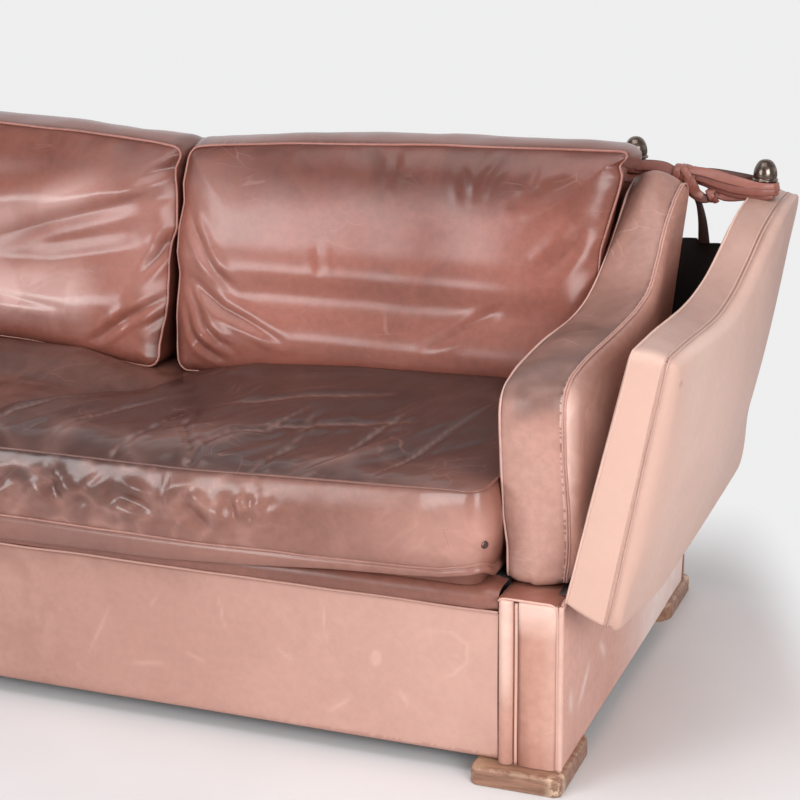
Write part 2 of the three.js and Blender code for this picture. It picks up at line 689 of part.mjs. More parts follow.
function wingPad() {
  const taper = (WING_FOOT_BORDER - WING_HEAD_BORDER) / WING_FRONT_HEIGHT;
  const border = (z) => WING_FOOT_BORDER - taper * Math.max(z, 0);
  const rings = [
    { inset: 0, border: 0, swell: 0 },
    { inset: 0, border: 1, swell: 0 },
    { inset: 1, border: 1, swell: 0.2 },
    { inset: 9, border: 1, swell: 0.5 },
    { inset: 30, border: 1, swell: 0.75 },
    { inset: 80, border: 1, swell: 0.93 },
    { inset: WING_CREST_INSET, border: 1, swell: 1 },
  ];
  const place = (y, z, ring) => {
    const x = ring.border * border(z) + ring.swell * WING_CROWN;
    const drop = 1 - THREE.MathUtils.clamp(z / (0.7 * WING_FRONT_HEIGHT), 0, 1);
    const hang = (WING_BORDER_DROP * Math.min(x / WING_FOOT_BORDER, 1) * drop);
    return [x, y, z - hang];
  };
  const outline = outlinePoints(wingOutline(), 110, 5);
  const pocket = wingPlate(WING_RIM - GAP, -1, WING_FACING + WING_BOARD + 2 * GAP);
  return cut(padded(outline, rings, place), [pocket, finialSocket()]);
}

// A plate with the wing's outline drawn in by inset, between two distances from the inner face
function wingPlate(inset, x0, x1) {
  return extrudeAcross(wingOutline(inset), x0, x1);
}

function finialSocket() {
  const depth = WING_FINIAL_RISE + FINIAL_SPIGOT;
  const socket = new THREE.CylinderGeometry(
    FINIAL_NECK_RADIUS + GAP, FINIAL_NECK_RADIUS + GAP, 2 * depth, 16,
  ).rotateX(Math.PI / 2).rotateY(-LEAN);
  return socket.translate(WING_FINIAL_IN, FINIAL_SETBACK, WING_REAR_HEIGHT + WING_FINIAL_RISE);
}

function addWings() {
  const hinge = [HINGE_X, 0, HINGE_Z];
  addPair('wing_pad', wingPad(), 'paleLeather', hinge, LEAN);
  const board = wingPlate(WING_RIM, WING_FACING + GAP, WING_FACING + GAP + WING_BOARD);
  addPair('wing_board', board, 'timber', hinge, LEAN);
  addPair('wing_inside_panel', wingPlate(WING_RIM, 0, WING_FACING), 'leather', hinge, LEAN);
}

// A leaf of the long hinge: a plate with every second knuckle rolled round the pin. Drawn with
// the axis at the origin and the plate leaving towards -x at the given height.
function hingeLeaf(first, plateLow) {
  const length = WING_DEPTH - 2 * HINGE_INSET;
  const pitch = length / HINGE_KNUCKLES;
  const plate = slab(
    [-HINGE_LEAF_WIDTH, -HINGE_KNUCKLE_RADIUS - HINGE_PLAY],
    [0, length],
    [plateLow, plateLow + HINGE_LEAF],
  );
  const pieces = [plate];
  for (let i = first; i < HINGE_KNUCKLES; i += 2) {
    const ring = new THREE.Shape();
    ring.absarc(0, 0, HINGE_KNUCKLE_RADIUS, 0, 2 * Math.PI, false);
    const bore = new THREE.Path();
    bore.absarc(0, 0, HINGE_PIN_RADIUS + HINGE_RUNNING, 0, 2 * Math.PI, true);
    ring.holes.push(bore);
    const y0 = i * pitch + HINGE_PLAY / 2;
    const y1 = (i + 1) * pitch - HINGE_PLAY / 2;
    pieces.push(extrudeBack(ring, y0, y1, 5));
    pieces.push(slab(
      [-HINGE_KNUCKLE_RADIUS - 1, -HINGE_PIN_RADIUS - 0.5], [y0, y1],
      [plateLow, plateLow + HINGE_LEAF],
    ));
  }
  return join(pieces);
}

function addHinges() {
  const axis = [HINGE_X, HINGE_INSET, HINGE_Z];
  const lowerLeaf = hingeLeaf(0, -HINGE_UP + GAP);
  addPair('arm_hinge_lower_leaf', lowerLeaf, 'steel', axis);
  // The upper leaf stands against the inside of the wing, just inside its inner face.
  const upperLeaf = hingeLeaf(1, -HINGE_LEAF - GAP).rotateY(Math.PI / 2);
  addPair('arm_hinge_upper_leaf', upperLeaf, 'steel', axis, LEAN);
  const pin = new THREE.CylinderGeometry(
    HINGE_PIN_RADIUS, HINGE_PIN_RADIUS, WING_DEPTH - 2 * HINGE_INSET + 3, 10,
  ).translate(0, (WING_DEPTH - 2 * HINGE_INSET) / 2, 0);
  addPair('arm_hinge_pin', pin, 'steel', axis);
}

// Finials: turned acorns on a neck, with a spigot below
function finial(spigot) {
  const collar = FINIAL_NECK;
  const radius = FINIAL_RADIUS;
  const profile = [
    [0, -spigot],
    [FINIAL_NECK_RADIUS, -spigot],
    [FINIAL_NECK_RADIUS, collar - 6],
    [radius + 1, collar - 2],
    [radius + 1.5, collar + 2],
    [radius - 2, collar + 4],
  ];
  for (let i = 0; i <= 6; i += 1) {
    const angle = (i / 6) * (Math.PI / 2);
    profile.push([
      i === 6 ? 0 : (radius - 1.5) * Math.cos(angle) ** 0.85,
      collar + 5 + (FINIAL_HEIGHT - 5) * Math.sin(angle),
    ]);
  }
  const points = profile.map(([r, z]) => new THREE.Vector2(r, z));
  return new THREE.LatheGeometry(points, 14).rotateX(Math.PI / 2);
}

// Where the foot of the wing finial's neck stands in the frame of the whole sofa
function wingFinialFoot() {
  const foot = new THREE.Vector3(WING_FINIAL_IN, 0, WING_REAR_HEIGHT + WING_FINIAL_RISE);
  foot.applyAxisAngle(new THREE.Vector3(0, 1, 0), LEAN);
  return foot.add(new THREE.Vector3(HINGE_X, FINIAL_SETBACK, HINGE_Z));
}

function addFinials() {
  const spigot = FINIAL_SPIGOT - GAP;
  addPair('back_finial', finial(spigot), 'bronze', [POST_X, FINIAL_SETBACK, BACK_HEIGHT]);
  const place = wingFinialFoot();
  addPair('wing_finial', finial(spigot + WING_FINIAL_RISE), 'bronze', place.toArray());
}

// Straps: turns round both necks, two strands, a knot between them and a hanging tail
function wrap(centre, turnHeight) {
  const inner = FINIAL_NECK_RADIUS + GAP;
  const outer = inner + STRAP_TURNS * STRAP_THICKNESS;
  const half = turnHeight / 2;
  const profile = [
    [inner, -half], [outer - 1.5, -half], [outer, 1.5 - half], [outer, -1], [outer - 1.5, 0],
    [outer, 1], [outer, half - 1.5], [outer - 1.5, half], [inner, half], [inner, -half],
  ].map(([r, z]) => new THREE.Vector2(r, z));
  return new THREE.LatheGeometry(profile, 14).rotateX(Math.PI / 2).translate(...centre.toArray());
}

// A strand that runs along x, standing on edge: thickness in y, width in z
function strand(points, steps) {
  const curve = new THREE.CatmullRomCurve3(points);
  const t = STRAP_THICKNESS / 2;
  const w = STRAP_WIDTH / 2;
  const section = [[-t, -w], [t, -w], [t, w], [-t, w]];
  const positions = [];
  const index = [];
  for (let i = 0; i <= steps; i += 1) {
    const p = curve.getPoint(i / steps);
    section.forEach(([y, z]) => positions.push(p.x, p.y + y, p.z + z));
    for (let k = 0; i > 0 && k < 4; k += 1) {
      const a = 4 * (i - 1) + k;
      const b = 4 * (i - 1) + (k + 1) % 4;
      index.push(a, b, b + 4, a, b + 4, a + 4);
    }
  }
  const end = 4 * steps;
  index.push(1, 0, 2, 2, 0, 3);
  index.push(end, end + 1, end + 2, end, end + 2, end + 3);
  const geometry = new THREE.BufferGeometry();
  geometry.setAttribute('position', new THREE.Float32BufferAttribute(positions, 3));
  geometry.setIndex(index);
  return facingOut(geometry);
}

function strapEnds() {
  const lift = FINIAL_NECK / 2 - 2;
  const back = new THREE.Vector3(POST_X, FINIAL_SETBACK, BACK_HEIGHT + lift);
  const wing = wingFinialFoot().add(new THREE.Vector3(0, 0, lift));
  const knot = back.clone().lerp(wing, 0.45).add(new THREE.Vector3(0, -4, -6));
  return { back, wing, knot };
}

function strap() {
  const { back, wing, knot } = strapEnds();
  const reach = FINIAL_NECK_RADIUS + (STRAP_TURNS - 1) * STRAP_THICKNESS;
  const pieces = [wrap(back, STRAP_WRAP), wrap(wing, STRAP_WRAP)];
  [-1, 1].forEach((side) => {
    const out = new THREE.Vector3(0, side * reach, 0);
    const spread = new THREE.Vector3(0, side * STRAP_SPREAD, side * 7);
    const overEdge = new THREE.Vector3(BACK_HALF + 8, back.y + side * reach, back.z + 2);
    pieces.push(strand([
      back.clone().add(out), overEdge, back.clone().lerp(knot, 0.75).add(spread), knot.clone(),
    ], 9));
    pieces.push(strand([
      knot.clone(), knot.clone().lerp(wing, 0.5).add(spread), wing.clone().add(out),
    ], 8));
  });
  const lump = new THREE.SphereGeometry(KNOT_RADIUS, 12, 8).scale(1.05, 1, 1.1);
  pieces.push(lump.translate(...knot.toArray()));
  const tail = new THREE.CylinderGeometry(TAIL_WIDTH / 4, TAIL_WIDTH / 2, TAIL_LENGTH, 8);
  tail.scale(1, 1, 0.35).rotateX(Math.PI / 2);
  pieces.push(tail.translate(knot.x + 6, knot.y, knot.z - TAIL_LENGTH / 2));
  return join(pieces);
}

// Dark lining that closes the gap behind each arm, between the rear frame and the wing
function gapLining() {
  const bottom = ARM_BASE_TOP + 2;
  const top = ARM_BASE_TOP + LINING_HEIGHT;
  const wingFace = (z) => HINGE_X + (z - HINGE_Z) * Math.tan(LEAN) - CUSHION_GAP;
  const shape = polygon([
    [BACK_HALF + GAP, bottom],
    [HALF, bottom],
    [HALF, wingFace(bottom) > HALF ? bottom + 8 : bottom + 12],
    [wingFace(top), top],
    [BACK_HALF + GAP, top],
  ]);
  return extrudeBack(shape, FINIAL_SETBACK + 8, FINIAL_SETBACK + 8 + CUSHION_GAP);
}

addFeet();
addFrame();
addWebbing();
addDeck();
addFrontPanel();
addArmBases();
addBackCovers();
addDustCover();
addSeatCushion();
addBackCushions();
addArmCushions();
addWings();
addHinges();
addFinials();
addPair('tie_strap', strap(), 'strapLeather');
addPair('gap_lining', gapLining(), 'lining');

export default sofa;
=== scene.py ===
import math

import bmesh
import bpy
import numpy as np
from mathutils import Matrix, Vector


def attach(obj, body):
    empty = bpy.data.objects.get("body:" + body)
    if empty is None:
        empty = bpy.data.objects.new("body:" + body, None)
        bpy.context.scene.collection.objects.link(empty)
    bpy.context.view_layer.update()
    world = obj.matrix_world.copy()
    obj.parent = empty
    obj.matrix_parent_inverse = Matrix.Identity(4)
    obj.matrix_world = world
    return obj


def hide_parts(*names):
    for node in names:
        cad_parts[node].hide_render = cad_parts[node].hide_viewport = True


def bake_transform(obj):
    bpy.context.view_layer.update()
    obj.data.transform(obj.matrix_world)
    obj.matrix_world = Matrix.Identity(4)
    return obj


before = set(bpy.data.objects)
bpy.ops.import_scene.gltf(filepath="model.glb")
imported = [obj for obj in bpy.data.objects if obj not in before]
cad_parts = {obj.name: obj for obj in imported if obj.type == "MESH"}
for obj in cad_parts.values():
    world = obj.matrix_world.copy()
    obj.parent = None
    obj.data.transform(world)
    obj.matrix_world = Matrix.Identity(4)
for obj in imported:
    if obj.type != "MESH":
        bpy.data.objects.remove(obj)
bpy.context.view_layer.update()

# Lengths are in metres. Pieces are drawn with y = 0 at the front of the arm bases and for the
# right-hand end, then moved by FRONT into the frame and mirrored for the left-hand end.
FRONT = -0.42
HALF = 0.915                        # half the width of the base
FLOOR_GAP = 0.0304                  # underside of the covers
ARM_BASE_TOP = 0.315
PANEL_FACE = 0.0092                 # y of the front panel's cover at its edges
SEAM_Z = 0.286                      # seam between front panel and lip
LIP_TOP = 0.324
BACK_HALF = 0.858                   # half the width of the rear frame
BACK_TOP = 0.840
SEAT_LOWER = 0.3444                 # lower seam of the seat's border
SEAT_UPPER = 0.4704                 # upper seam of the seat's border
SEAT_BOTTOM = 0.3262
SEAT_BORDER = 0.120                 # height of the border along its strip
HINGE = (0.919, 0.318)              # x and z of the right wing's hinge
LEAN = math.radians(13)
WING_DEPTH = 0.862
FINIAL_Y = 0.7514
POST_X = 0.8226                     # x of the finials on the rear frame
WING_FINIAL = (0.023, FINIAL_Y, 0.512)  # on the wing: outwards, back and up
QUARTER = 0.5523                    # reach of a curve's handles, for a quarter circle
CORNER_IN = 0.2929                  # how far a quarter circle stays inside its corner


# Numbers and noise.

def smooth(low, high, x):
    """0 at low and 1 at high, with a soft start and end. low may be above high."""
    t = np.clip((np.asarray(x, float) - low) / (high - low), 0, 1)
    return t * t * (3 - 2 * t)


def xyz(*parts):
    """Points from x, y and z, of which any may be the same along a row or a column."""
    return np.stack(np.broadcast_arrays(*parts), -1)


def hand(side):
    return "right" if side > 0 else "left"


def bell(x, middle, width):
    """1 at the middle, falling to 0 within about two widths."""
    return np.exp(-((np.asarray(x, float) - middle) / width) ** 2)


def value_noise(a, b, seed):
    """Smooth noise of -1 to 1 on a grid of 1 by 1."""
    table = np.random.default_rng(seed).uniform(-1, 1, (64, 64))
    i, j = np.floor(a).astype(int), np.floor(b).astype(int)
    u, v = a - i, b - j
    u, v = u * u * (3 - 2 * u), v * v * (3 - 2 * v)
    i, j = i % 64, j % 64
    k, l = (i + 1) % 64, (j + 1) % 64
    low = table[i, j] * (1 - u) + table[k, j] * u
    high = table[i, l] * (1 - u) + table[k, l] * u
    return low * (1 - v) + high * v


def fractal(a, b, wave, seed, octaves=3, gain=0.5):
    """Noise of about -1 to 1 whose largest lumps are wave metres across."""
    total = np.zeros(np.broadcast(a, b).shape)
    weight, reach = 1.0, 0.0
    for n in range(octaves):
        total += weight * value_noise(a / wave + 7.3 * n, b / wave + 3.1 * n, seed + n)
        reach += weight
        weight *= gain
        wave /= 2.03
    return total / reach


def ridged(a, b, wave, seed, octaves=2):
    """0 to 1, with thin ridges of 1."""
    return (1 - np.abs(fractal(a, b, wave, seed, octaves))) ** 5


def crease(a, b, path, width, depth, lip=0.5, sharp=1.2):
    """A furrow along a path, with a soft lip at each side; it fades out at both ends."""
    path = np.array(path, float)
    steps = np.diff(path, axis=0)
    lengths = np.hypot(steps[:, 0], steps[:, 1])
    starts = np.concatenate([[0], np.cumsum(lengths)])[:-1]
    total = lengths.sum()
    best = np.full(np.broadcast(a, b).shape, 1e9)
    along = np.zeros(best.shape)
    for p, s, length, start in zip(path[:-1], steps, lengths, starts):
        t = np.clip(((a - p[0]) * s[0] + (b - p[1]) * s[1]) / length ** 2, 0, 1)
        d = np.hypot(a - p[0] - t * s[0], b - p[1] - t * s[1])
        closer = d < best
        best = np.where(closer, d, best)
        along = np.where(closer, (start + t * length) / total, along)
    fade = np.sin(np.pi * np.clip(along * 0.96 + 0.02, 0, 1)) ** 0.55
    furrow = np.exp(-(best / width) ** sharp)
    lips = np.exp(-((best - 2.1 * width) / (1.1 * width)) ** 2)
    return fade * depth * (lip * lips - furrow)


def line_mark(a, b, path, width):
    """1 on a path, 0 away from it."""
    return -crease(a, b, path, width, 1.0, lip=0, sharp=2)


# Outlines.

def outline(start, *steps):
    """Points along lines ('l', end), curves ('q', control, end) and ('c', one, two, end)."""
    points = [np.array(start, float)]
    for kind, *control in steps:
        p = [points[-1]] + [np.array(c, float) for c in control]
        n = 2 if kind == "l" else 14
        for t in np.linspace(0, 1, n)[1:]:
            if kind == "l":
                points.append(p[0] + t * (p[1] - p[0]))
            elif kind == "q":
                points.append((1 - t) ** 2 * p[0] + 2 * t * (1 - t) * p[1] + t * t * p[2])
            else:
                points.append((1 - t) ** 3 * p[0] + 3 * t * (1 - t) ** 2 * p[1]
                              + 3 * t * t * (1 - t) * p[2] + t ** 3 * p[3])
    return np.array(points)


def spline(points, n):
    """n points along a Catmull-Rom curve, evenly spread."""
    p = np.array(points, float)
    p = np.vstack([2 * p[0] - p[1], p, 2 * p[-1] - p[-2]])
    out = []
    for a, b, c, d in zip(p[:-3], p[1:-2], p[2:-1], p[3:]):
        for t in np.linspace(0, 1, 16, endpoint=False):
            out.append(0.5 * (2 * b + (c - a) * t + (2 * a - 5 * b + 4 * c - d) * t * t
                              + (3 * b - a - 3 * c + d) * t ** 3))
    out.append(p[-2])
    return resample(np.array(out), n)


def resample(points, n, at=None):
    """n points evenly along a line, or one at each share of its length in at."""
    points = np.asarray(points, float)
    steps = np.linalg.norm(np.diff(points, axis=0), axis=1)
    along = np.concatenate([[0], np.cumsum(steps)])
    at = np.linspace(0, 1, n) if at is None else at
    return np.stack([np.interp(at * along[-1], along, points[:, k])
                     for k in range(points.shape[1])], 1)


def spread(n, pull=0.45):
    """0 to 1, closer together towards both ends."""
    t = np.linspace(0, 1, n)
    return (1 - pull) * t + pull * (0.5 - 0.5 * np.cos(np.pi * t))


def split(points, corners):
    """Cuts a closed outline at the four points nearest the given corners, in order."""
    found = [int(np.argmin(np.hypot(*(points - c).T))) for c in corners]
    parts = []
    for a, b in zip(found, found[1:] + found[:1]):
        parts.append(points[a:b + 1] if b > a else np.vstack([points[a:], points[:b + 1]]))
    return parts


def patch(bottom, rear, top, front, m, n):
    """A grid of m by n points that fills four edges, each given from its start to its end in
    turn round the outline."""
    u, v = spread(m), spread(n)
    bottom = resample(bottom, m, u)
    top = resample(top[::-1], m, u)
    rear = resample(rear, n, v)
    front = resample(front[::-1], n, v)
    s, t = u[:, None, None], v[None, :, None]
    corners = ((1 - s) * (1 - t) * bottom[0] + s * (1 - t) * bottom[-1]
               + (1 - s) * t * top[0] + s * t * top[-1])
    return (bottom[:, None] * (1 - t) + top[:, None] * t + front[None] * (1 - s)
            + rear[None] * s - corners)


def rim(grid):
    """The closed loop of points round a grid."""
    return np.concatenate([grid[:-1, 0], grid[-1, :-1], grid[:0:-1, -1], grid[0, :0:-1]])


def closing(loop):
    """Rings that close a flat, open loop towards its middle."""
    heart = loop.mean(0)
    return heart + (loop[:, None] - heart) * np.linspace(1, 0, 5)[None, :, None]


def edge_distance(grid, loop):
    """How far each point of a flat grid is from a closed loop."""
    points = grid.reshape(-1, 2)
    a, b = loop, np.roll(loop, -1, 0)
    step = b - a
    length = (step ** 2).sum(1) + 1e-12
    best = np.full(len(points), 1e9)
    batch = 4000
    for k in range(0, len(points), batch):
        p = points[k:k + batch, None]
        t = np.clip(((p - a) * step).sum(2) / length, 0, 1)
        gap = p - a - t[..., None] * step
        best[k:k + batch] = np.sqrt((gap ** 2).sum(2)).min(1)
    return best.reshape(grid.shape[:2])


# Meshes.

class Shell:
    """Grids of points gathered into one mesh, with marks (0 to 1) for the material to read."""

    def __init__(self):
        self.points, self.faces, self.marks, self.count = [], [], [], 0

    def grid(self, p, closed=False, dark=0.0, pale=0.0):
        """Adds a grid of points. closed joins its last row to its first."""
        m, n = p.shape[:2]
        ids = self.count + np.arange(m * n).reshape(m, n)
        if closed:
            ids = np.vstack([ids, ids[:1]])
        quads = np.stack([ids[:-1, :-1], ids[1:, :-1], ids[1:, 1:], ids[:-1, 1:]], -1)
        self.faces.append(quads.reshape(-1, 4))
        self.points.append(p.reshape(-1, 3))
        both = [np.broadcast_to(np.asarray(k, float), (m, n)).reshape(-1) for k in (dark, pale)]
        self.marks.append(np.stack(both, 1))
        self.count += m * n
        return self

    def build(self, name, material, body, slot, cad=(), side=1, fill=None, weld=1e-5):
        """Makes the mesh, mirrored where side is -1, and welds points closer than weld."""
        points = np.concatenate(self.points)
        points = points * [side, 1, 1] + [0, FRONT, 0]
        faces = np.concatenate(self.faces)
        mesh = bpy.data.meshes.new(name)
        mesh.from_pydata(points.tolist(), [], faces.tolist())
        marks = np.concatenate(self.marks)
        for k, label in enumerate(("dark", "pale")):
            layer = mesh.attributes.new(label, "FLOAT", "POINT")
            layer.data.foreach_set("value", np.clip(marks[:, k], 0, 1))
        work = bmesh.new()
        work.from_mesh(mesh)
        bmesh.ops.remove_doubles(work, verts=work.verts, dist=weld)
        bmesh.ops.recalc_face_normals(work, faces=work.faces)
        for face in work.faces:
            face.smooth = True
        work.to_mesh(mesh)
        work.free()
        return dress(bpy.data.objects.new(name, mesh), material, body, cad)


def dress(piece, material, body, cad=()):
    """Puts a piece in the scene, parents it to what it moves with, and hides the parts it stands in
    for.
    """
    bpy.context.scene.collection.objects.link(piece)
    piece.data.materials.append(material)
    if body:
        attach(piece, body)
    if cad:
        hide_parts(*cad)
    return piece


def tube_rings(path, radius, closed=False, sides=8):
    """Rings of points round a path. radius may be one number or one for each point."""
    path = np.asarray(path, float)
    if closed:
        ahead, behind = np.roll(path, -1, 0), np.roll(path, 1, 0)
    else:
        ahead = np.vstack([path[1:], 2 * path[-1] - path[-2]])
        behind = np.vstack([2 * path[0] - path[1], path[:-1]])
    along = ahead - behind
    along /= np.linalg.norm(along, axis=1, keepdims=True)
    normal = np.zeros_like(path)
    up = np.array([0.13, 0.21, 0.97])
    first = np.cross(along[0], up)
    if np.linalg.norm(first) < 0.2:
        first = np.cross(along[0], [1.0, 0.1, 0])
    normal[0] = first / np.linalg.norm(first)
    for k in range(1, len(path)):
        n = normal[k - 1] - along[k] * normal[k - 1].dot(along[k])
        normal[k] = n / np.linalg.norm(n)
    other = np.cross(along, normal)
    angle = np.linspace(0, 2 * np.pi, sides + 1)
    radius = np.broadcast_to(radius, (len(path),))[:, None, None]
    rings = path[:, None] + radius * (np.cos(angle)[None, :, None] * normal[:, None]
                                      + np.sin(angle)[None, :, None] * other[:, None])
    if not closed:
        caps = [np.broadcast_to(rings[k].mean(0), rings[k].shape) for k in (0, -1)]
        rings = np.concatenate([caps[:1], rings, caps[1:]])
    return rings


def sway(path, amount, seed, wave=0.11):
    """Moves a path's points a little off line, as hand-sewn piping is."""
    path = np.asarray(path, float)
    steps = np.linalg.norm(np.diff(path, axis=0), axis=1)
    along = np.concatenate([[0], np.cumsum(steps)])
    ends = smooth(0, 0.05, along) * smooth(0, 0.05, along[-1] - along)
    shift = [fractal(along, np.full_like(along, 5.0 * k), wave, seed + 11 * k, 2)
             for k in range(3)]
    return path + amount * ends[:, None] * np.stack(shift, 1)


def piping(shell, path, radius, closed, amount, seed, pale, dark=0.0):
    """A welt along a path, swaying by amount."""
    path = sway(path, amount, seed)
    rings = tube_rings(path, radius, closed)
    shell.grid(rings, closed=closed, pale=pale, dark=dark)


def seam_loop(points, spacing=0.0075):
    """A closed loop resampled at an even spacing."""
    loop = np.vstack([points, points[:1]])
    length = np.linalg.norm(np.diff(loop, axis=0), axis=1).sum()
    return resample(loop, int(length / spacing) + 1)[:-1]


def border(a, b, bulge, steps):
    """A strip between two loops of points, swollen outwards by bulge in the middle."""
    across = b - a
    tangent = np.roll(a, -1, 0) - np.roll(a, 1, 0)
    out = np.cross(tangent, across)
    out /= np.linalg.norm(out, axis=1, keepdims=True) + 1e-12
    if (out * (a - a.mean(0))).sum() < 0:
        out = -out
    t = np.linspace(0, 1, steps)[None, :, None]
    shape = (np.sin(np.pi * t[..., 0]) ** 0.75) * bulge
    return a[:, None] * (1 - t) + b[:, None] * t + out[:, None] * shape[..., None]


# Camera, stage and light.

def point_camera():
    """A 90 mm lens that stands where the photograph was taken from."""
    yaw, pitch, roll = (math.radians(v) for v in (21.0715, 17.5505, -0.7134))
    ahead = Vector((-math.sin(yaw) * math.cos(pitch), math.cos(yaw) * math.cos(pitch),
                    -math.sin(pitch)))
    right = Vector((math.cos(yaw), math.sin(yaw), 0))
    up = right.cross(ahead)
    across = math.cos(roll) * right + math.sin(roll) * up
    above = math.cos(roll) * up - math.sin(roll) * right
    camera = bpy.data.objects.new("camera", bpy.data.cameras.new("camera"))
    camera.data.lens, camera.data.sensor_width = 90, 36
    camera.matrix_world = Matrix((
        (across.x, above.x, -ahead.x, 1.6989), (across.y, above.y, -ahead.y, -3.1328),
        (across.z, above.z, -ahead.z, 1.5377), (0, 0, 0, 1)))
    camera.data.clip_end = 200
    bpy.context.scene.collection.objects.link(camera)
    bpy.context.scene.camera = camera


def softbox(name, place, aim, size, power, colour=(1, 1, 1)):
    """A rectangular lamp that looks at aim."""
    light = bpy.data.lights.new(name, "AREA")
    light.shape = "RECTANGLE"
    light.size, light.size_y = size
    light.energy = power
    light.color = colour
    lamp = bpy.data.objects.new(name, light)
    lamp.location = place
    lamp.rotation_euler = (Vector(aim) - Vector(place)).to_track_quat("-Z", "Y").to_euler()
    bpy.context.scene.collection.objects.link(lamp)


def light_room():
    """Plain soft light, with a pale wall behind the sofa for glossy surfaces to show."""
    world = bpy.data.worlds.new("room")
    bpy.context.scene.world = world
    world.use_nodes = True
    nodes = world.node_tree.nodes
    back = nodes["Background"]
    g = Graph(world.node_tree)
    path = g.node("LightPath").outputs
    way = g.node("SeparateXYZ", {0: g.node("TexCoord").outputs["Generated"]}).outputs
    behind = g.math("MULTIPLY", g.ramp(way["Y"], -0.15, 0.5), g.ramp(way["Z"], 0.99, 0.74))
    mirrored = g.mix(behind, (0.27, 0.275, 0.29, 1), (1.0, 1.0, 1.02, 1))
    seen = g.mix(path["Is Glossy Ray"], (0.46, 0.46, 0.465, 1), mirrored)
    g.plug(g.mix(path["Is Camera Ray"], seen, (0.88, 0.88, 0.885, 1)), back.inputs["Color"])
    softbox("key", (-2.1, -3.9, 1.95), (-0.1, 0, 0.5), (2.0, 1.5), 90, (0.95, 0.98, 1.0))
    softbox("top", (0.3, -1.0, 3.7), (0.1, 0.1, 0.3), (3.0, 2.2), 52)
    softbox("side", (3.5, -3.0, 1.9), (0.9, 0, 0.5), (2.2, 2.0), 112)


def lay_floor(material):
    mesh = bpy.data.meshes.new("floor")
    mesh.from_pydata([(-40, -40, 0), (40, -40, 0), (40, 40, 0), (-40, 40, 0)], [], [(0, 1, 2, 3)])
    floor = bpy.data.objects.new("floor", mesh)
    floor.data.materials.append(material)
    bpy.context.scene.collection.objects.link(floor)


# Materials.

class Graph:
    """A short way to write a node tree."""

    def __init__(self, tree):
        self.tree, self.nodes, self.links = tree, tree.nodes, tree.links

    def node(self, kind, inputs=None, **settings):
        made = self.nodes.new("ShaderNode" + kind)
        for key, value in settings.items():
            setattr(made, key, value)
        for key, value in (inputs or {}).items():
            self.plug(value, made.inputs[key])
        return made

    def plug(self, value, socket):
        if isinstance(value, bpy.types.NodeSocket):
            self.links.new(value, socket)
        elif isinstance(value, bpy.types.Node):
            self.links.new(value.outputs[0], socket)
        else:
            socket.default_value = value

    def noise(self, where, scale, detail=3, rough=0.5, distort=0.0):
        return self.node("TexNoise", {"Vector": where, "Scale": scale, "Detail": detail,
                                      "Roughness": rough, "Distortion": distort}).outputs["Fac"]

    def ramp(self, value, low, high, a=0.0, b=1.0):
        return self.node("MapRange", {"Value": value, "From Min": low, "From Max": high,
                                      "To Min": a, "To Max": b},
                         interpolation_type="SMOOTHSTEP").outputs["Result"]

    def math(self, operation, a, b=0.0):
        return self.node("Math", {0: a, 1: b}, operation=operation).outputs[0]

    def mix(self, factor, a, b, blend="MIX"):
        made = self.node("Mix", data_type="RGBA", blend_type=blend)
        self.plug(factor, made.inputs["Factor"])
        self.plug(a, made.inputs["A"])
        self.plug(b, made.inputs["B"])
        return made.outputs["Result"]


def srgb(r, g, b):
    """A colour as 0 to 255 values, turned into what a shader reads."""
    linear = [c / 255 / 12.92 if c <= 10 else ((c / 255 + 0.055) / 1.055) ** 2.4
              for c in (r, g, b)]
    return (*linear, 1)


def group_of(name, inputs, outputs):
    """An empty node group with named sockets: C for a colour, V for a vector, F for a value."""
    kinds = {"C": "NodeSocketColor", "V": "NodeSocketVector", "F": "NodeSocketFloat"}
    tree = bpy.data.node_groups.new(name, "ShaderNodeTree")
    for way, sockets in (("INPUT", inputs), ("OUTPUT", outputs)):
        for label, kind in sockets:
            tree.interface.new_socket(label, in_out=way, socket_type=kinds[kind])
    given = tree.nodes.new("NodeGroupInput").outputs
    out = tree.nodes.new("NodeGroupOutput").inputs
    return Graph(tree), given, out


